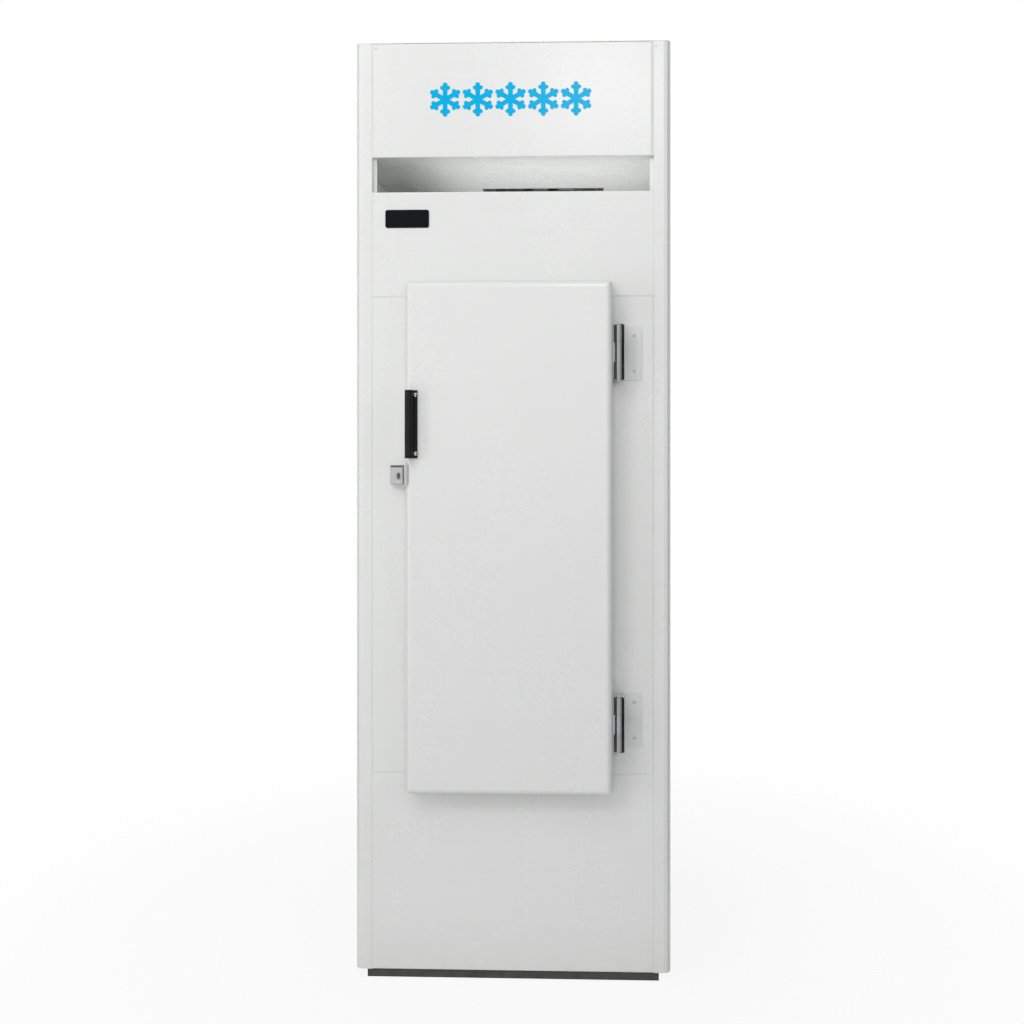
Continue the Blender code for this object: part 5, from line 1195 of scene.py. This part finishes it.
@dataclass
class RearControls:
    """The dial round the thermostat's knob, its pointer and the frame of the switch."""

    marks: int = 9
    long_mark_every: int = 4
    dial_sweep: float = math.radians(270)
    dial_gap: float = 0.003
    mark_length: float = 0.005
    short_length: float = 0.003
    mark_width: float = 0.0011
    mark_proud: float = 0.0005
    pointer_half: float = 0.0007
    pointer_start: float = 0.003
    pointer_end: float = 0.004
    pointer_edge: float = 0.00005
    bezel: float = 0.0035
    bezel_room: float = 0.0012
    bezel_proud: float = 0.0018

    def dial(self, sheet: float) -> None:
        """Set the marks round the knob.

        Args:
            sheet: Where the rear panel's face is along Y.
        """
        low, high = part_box("thermostat_knob")
        radius = (high.z - low.z) / 2 + self.dial_gap
        half = self.mark_width / 2
        form = Form()
        for mark in range(self.marks):
            length = self.short_length if mark % self.long_mark_every else self.mark_length
            verts = form.block((-half, 0, radius), (half, self.mark_proud + SEAT, radius + length))
            turn = Matrix.Rotation(self.dial_sweep * mark / (self.marks - 1), 3, "Y")
            form.put(verts, turn, middle_at("thermostat_knob", sheet - SEAT))
        form.piece("dial_marks", BLACK_PLASTIC, "cabinet")

    def pointer(self) -> None:
        """Lay the pointer on the knob's face."""
        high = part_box("thermostat_knob")[1]
        middle = middle_at("thermostat_knob", high.y)
        form = Form()
        form.soft_block(
            (middle.x - self.pointer_half, high.y - SEAT, middle.z + self.pointer_start),
            (middle.x + self.pointer_half, high.y, high.z - self.pointer_end),
            self.pointer_edge, segments=1,
        )
        form.piece("knob_pointer", WHITE_PLASTIC, "knob")

    def switch_frame(self, sheet: float) -> None:
        """Frame the switch.

        Args:
            sheet: Where the rear panel's face is along Y.
        """
        low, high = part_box("power_switch")
        reach = self.bezel_room + self.bezel
        form = Form()
        form.block(
            (low.x - reach, sheet - SEAT, low.z - reach),
            (high.x + reach, sheet + self.bezel_proud, high.z + reach),
        )
        front = max(form.mesh.faces, key=lambda face: face.calc_center_median().y)
        back = min(form.mesh.faces, key=lambda face: face.calc_center_median().y)
        bmesh.ops.inset_region(form.mesh, faces=[front, back], thickness=self.bezel, use_even_offset=True)
        bmesh.ops.bridge_loops(form.mesh, edges=front.edges[:] + back.edges[:])
        bmesh.ops.delete(form.mesh, geom=[front, back], context="FACES_ONLY")
        form.piece("switch_frame", BLACK_PLASTIC, "cabinet")

    def build(self) -> None:
        """Make the marks, the pointer and the switch's frame."""
        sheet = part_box("rear_panel")[1].y
        self.dial(sheet)
        self.pointer()
        self.switch_frame(sheet)


@dataclass(frozen=True)
class Lamp:
    """A soft rectangular lamp."""

    name: str
    place: Place
    aim: Place
    size: tuple[float, float]
    power: float
    colour: Colour = (1.0, 1.0, 1.0)
    mirrored: bool = True

    def build(self) -> None:
        """Hang the lamp and point it."""
        light = bpy.data.lights.new(self.name, "AREA")
        light.shape = "RECTANGLE"
        light.size, light.size_y = self.size
        light.energy = self.power
        light.color = self.colour
        made = add_object(self.name, light)
        made.location = self.place
        made.rotation_euler = (Vector(self.aim) - Vector(self.place)).to_track_quat("-Z", "Y").to_euler()
        made.visible_glossy = self.mirrored
        made.visible_camera = False


@dataclass(frozen=True)
class Card:
    """A curved card behind the camera, with a foot on the floor, for mirrored rays alone.

    Its left and right are in degrees right of the camera as the freezer sees it.
    """

    name: str
    left: float
    right: float
    level: float
    radius: float = 4.2
    reach: float = 1.0
    top: float = 3.6
    bottom: float = 0.02
    steps: int = 8

    def build(self) -> None:
        """Spread the foot along the floor, then raise the card from it."""
        form = Form()
        span = self.right - self.left
        turns = [math.radians(self.left + span * step / self.steps) for step in range(self.steps + 1)]
        foot, edges = form.line(Vector((math.sin(turn), -math.cos(turn), 0)) * self.reach for turn in turns)
        bmesh.ops.translate(form.mesh, vec=(0, 0, self.bottom), verts=foot)
        for stretch, rise in ((self.radius / self.reach, 0), (1, self.top - self.bottom)):
            grown = bmesh.ops.extrude_edge_only(form.mesh, edges=edges)["geom"]
            verts = verts_of(grown)
            edges = [item for item in grown if isinstance(item, bmesh.types.BMEdge)]
            edges = [edge for edge in edges if set(edge.verts) <= set(verts)]
            bmesh.ops.scale(form.mesh, vec=(stretch, stretch, 1), verts=verts)
            bmesh.ops.translate(form.mesh, vec=(0, 0, rise), verts=verts)
        material, graph = blank_material(self.name)
        colour = (self.level, self.level, self.level, 1)
        graph.finish(graph.node("ShaderNodeEmission", {}, {"Color": colour}))
        made = form.to_object(self.name, material)
        made.visible_camera = made.visible_diffuse = made.visible_shadow = made.visible_transmission = False


@dataclass
class Studio:
    """The plain pale studio: floor, surroundings, cards, lamps and the camera.

    Two weak lamps stand inside the air slot and over the deck, which the photograph shows pale.
    """

    surroundings: float = 0.15
    tint: Colour = (0.985, 0.995, 1.0)
    floor_half: float = 30.0
    floor_tones: tuple[Colour, Colour] = ((0.72, 0.72, 0.72), (0.76, 0.76, 0.76))
    floor_fade: float = 3.0
    floor_stops: tuple[tuple[float, float], ...] = ((0.16, 0.0), (0.55, 1.0))
    floor_white: float = 0.90
    cards: tuple[Card, ...] = (
        Card("card_left", -110, -55, 0.01),
        Card("card_middle", -55, 36, 0.45),
        Card("card_right", 36, 120, 0.01),
    )
    lamps: tuple[Lamp, ...] = (
        Lamp("key", (-1.95, -3.4, 3.2), (0.0, -0.2, 1.5), (1.5, 1.6), 35.0, (1.0, 0.995, 0.985)),
        Lamp("front", (0.2, -4.4, 1.55), (0.0, 0.0, 1.55), (2.6, 1.4), 31.0, mirrored=False),
        Lamp("left", (-3.2, -2.4, 1.2), (0.0, -0.2, 1.0), (0.7, 2.2), 26.5),
        Lamp("right", (2.5, -3.0, 2.2), (0.2, -0.1, 1.3), (1.6, 2.2), 18.0, mirrored=False),
        Lamp("high", (-0.8, -2.6, 4.2), (0.0, -0.2, 1.7), (1.6, 1.0), 20.0),
        Lamp("window", (0.22, -3.0, 2.72), (0.2, -0.3, 1.9), (0.50, 0.35), 7.5),
        Lamp("in_the_slot", (0.07, -0.09, 1.726), (0.07, -0.09, 1.80), (0.52, 0.42), 0.41, mirrored=False),
        Lamp("over_the_deck", (0.05, 0.02, 1.96), (0.05, 0.10, 1.80), (0.36, 0.12), 0.25),
        Lamp("rear", (-0.7, 3.9, 2.8), (0.0, 0.3, 1.2), (3.0, 2.2), 62.0, mirrored=False),
    )
    camera_place: Place = (0.19, -2.911, 1.19)
    camera_yaw: float = math.radians(1.94)
    lens: float = 41.9
    shift: tuple[float, float] = (-0.046, -0.075)

    def world(self) -> None:
        """Light the scene evenly and show a white background."""
        world = bpy.data.worlds.new("pale_surroundings")
        world.use_nodes = True
        bpy.context.scene.world = world
        graph = Graph(world.node_tree)
        colour = (*shaded(self.tint, self.surroundings), 1)
        lit = graph.node("ShaderNodeBackground", {}, {"Color": colour})
        seen = graph.node("ShaderNodeBackground", {}, {"Color": WHITE})
        mixed = graph.node("ShaderNodeMixShader", {}, {0: graph.rays_that_see(), 1: lit, 2: seen})
        graph.finish(mixed, "ShaderNodeOutputWorld")

    def floor(self) -> None:
        """Lay the pale floor, which keeps a faint shadow near the object and ends in white."""
        form = Form()
        bmesh.ops.create_grid(form.mesh, x_segments=1, y_segments=1, size=self.floor_half)
        material, graph = blank_material("pale_floor")
        far = graph.ramp(graph.away((0, 0, 0)) / self.floor_fade, *self.floor_stops)
        speckle = graph.mix(graph.noise(260, 3), *self.floor_tones)
        lit = graph.node("ShaderNodeBsdfDiffuse", {}, {"Color": speckle})
        white = graph.node("ShaderNodeEmission", {}, {"Color": WHITE})
        share = graph.rays_that_see() * (far * (1 - self.floor_white) + self.floor_white)
        graph.finish(graph.node("ShaderNodeMixShader", {}, {0: share, 1: lit, 2: white}))
        form.to_object("floor", material)

    def camera(self) -> None:
        """Set the camera at the photograph's viewing angle."""
        data = bpy.data.cameras.new("camera")
        data.lens = self.lens
        data.shift_x, data.shift_y = self.shift
        made = add_object("camera", data)
        made.location = self.camera_place
        made.rotation_euler = (QUARTER_TURN, 0, self.camera_yaw)
        bpy.context.scene.camera = made

    def build(self) -> None:
        """Set the studio up."""
        bpy.context.scene.view_settings.view_transform = "Standard"
        self.world()
        self.floor()
        for piece in self.cards + self.lamps:
            piece.build()
        self.camera()


def main() -> None:
    """Build the looks, one sub-assembly after the other."""
    logging.basicConfig(level=logging.INFO, format="%(message)s")
    Studio().build()
    CadDress().build()
    HeaderSign().build()
    FrontPlate().build()
    PullHandle().build()
    LockTrim().build()
    HingeTrim().build()
    SeamBeads().build()
    CaseFasteners().build()
    CloseFins("condenser_coil", "condenser_fins").build()
    CloseFins("evaporator_coil", "evaporator_fins", bottom_room=0.0008, top_room=0.0086).build()
    FanGuard().build()
    RearControls().build()


if __name__ == "__main__":
    main()
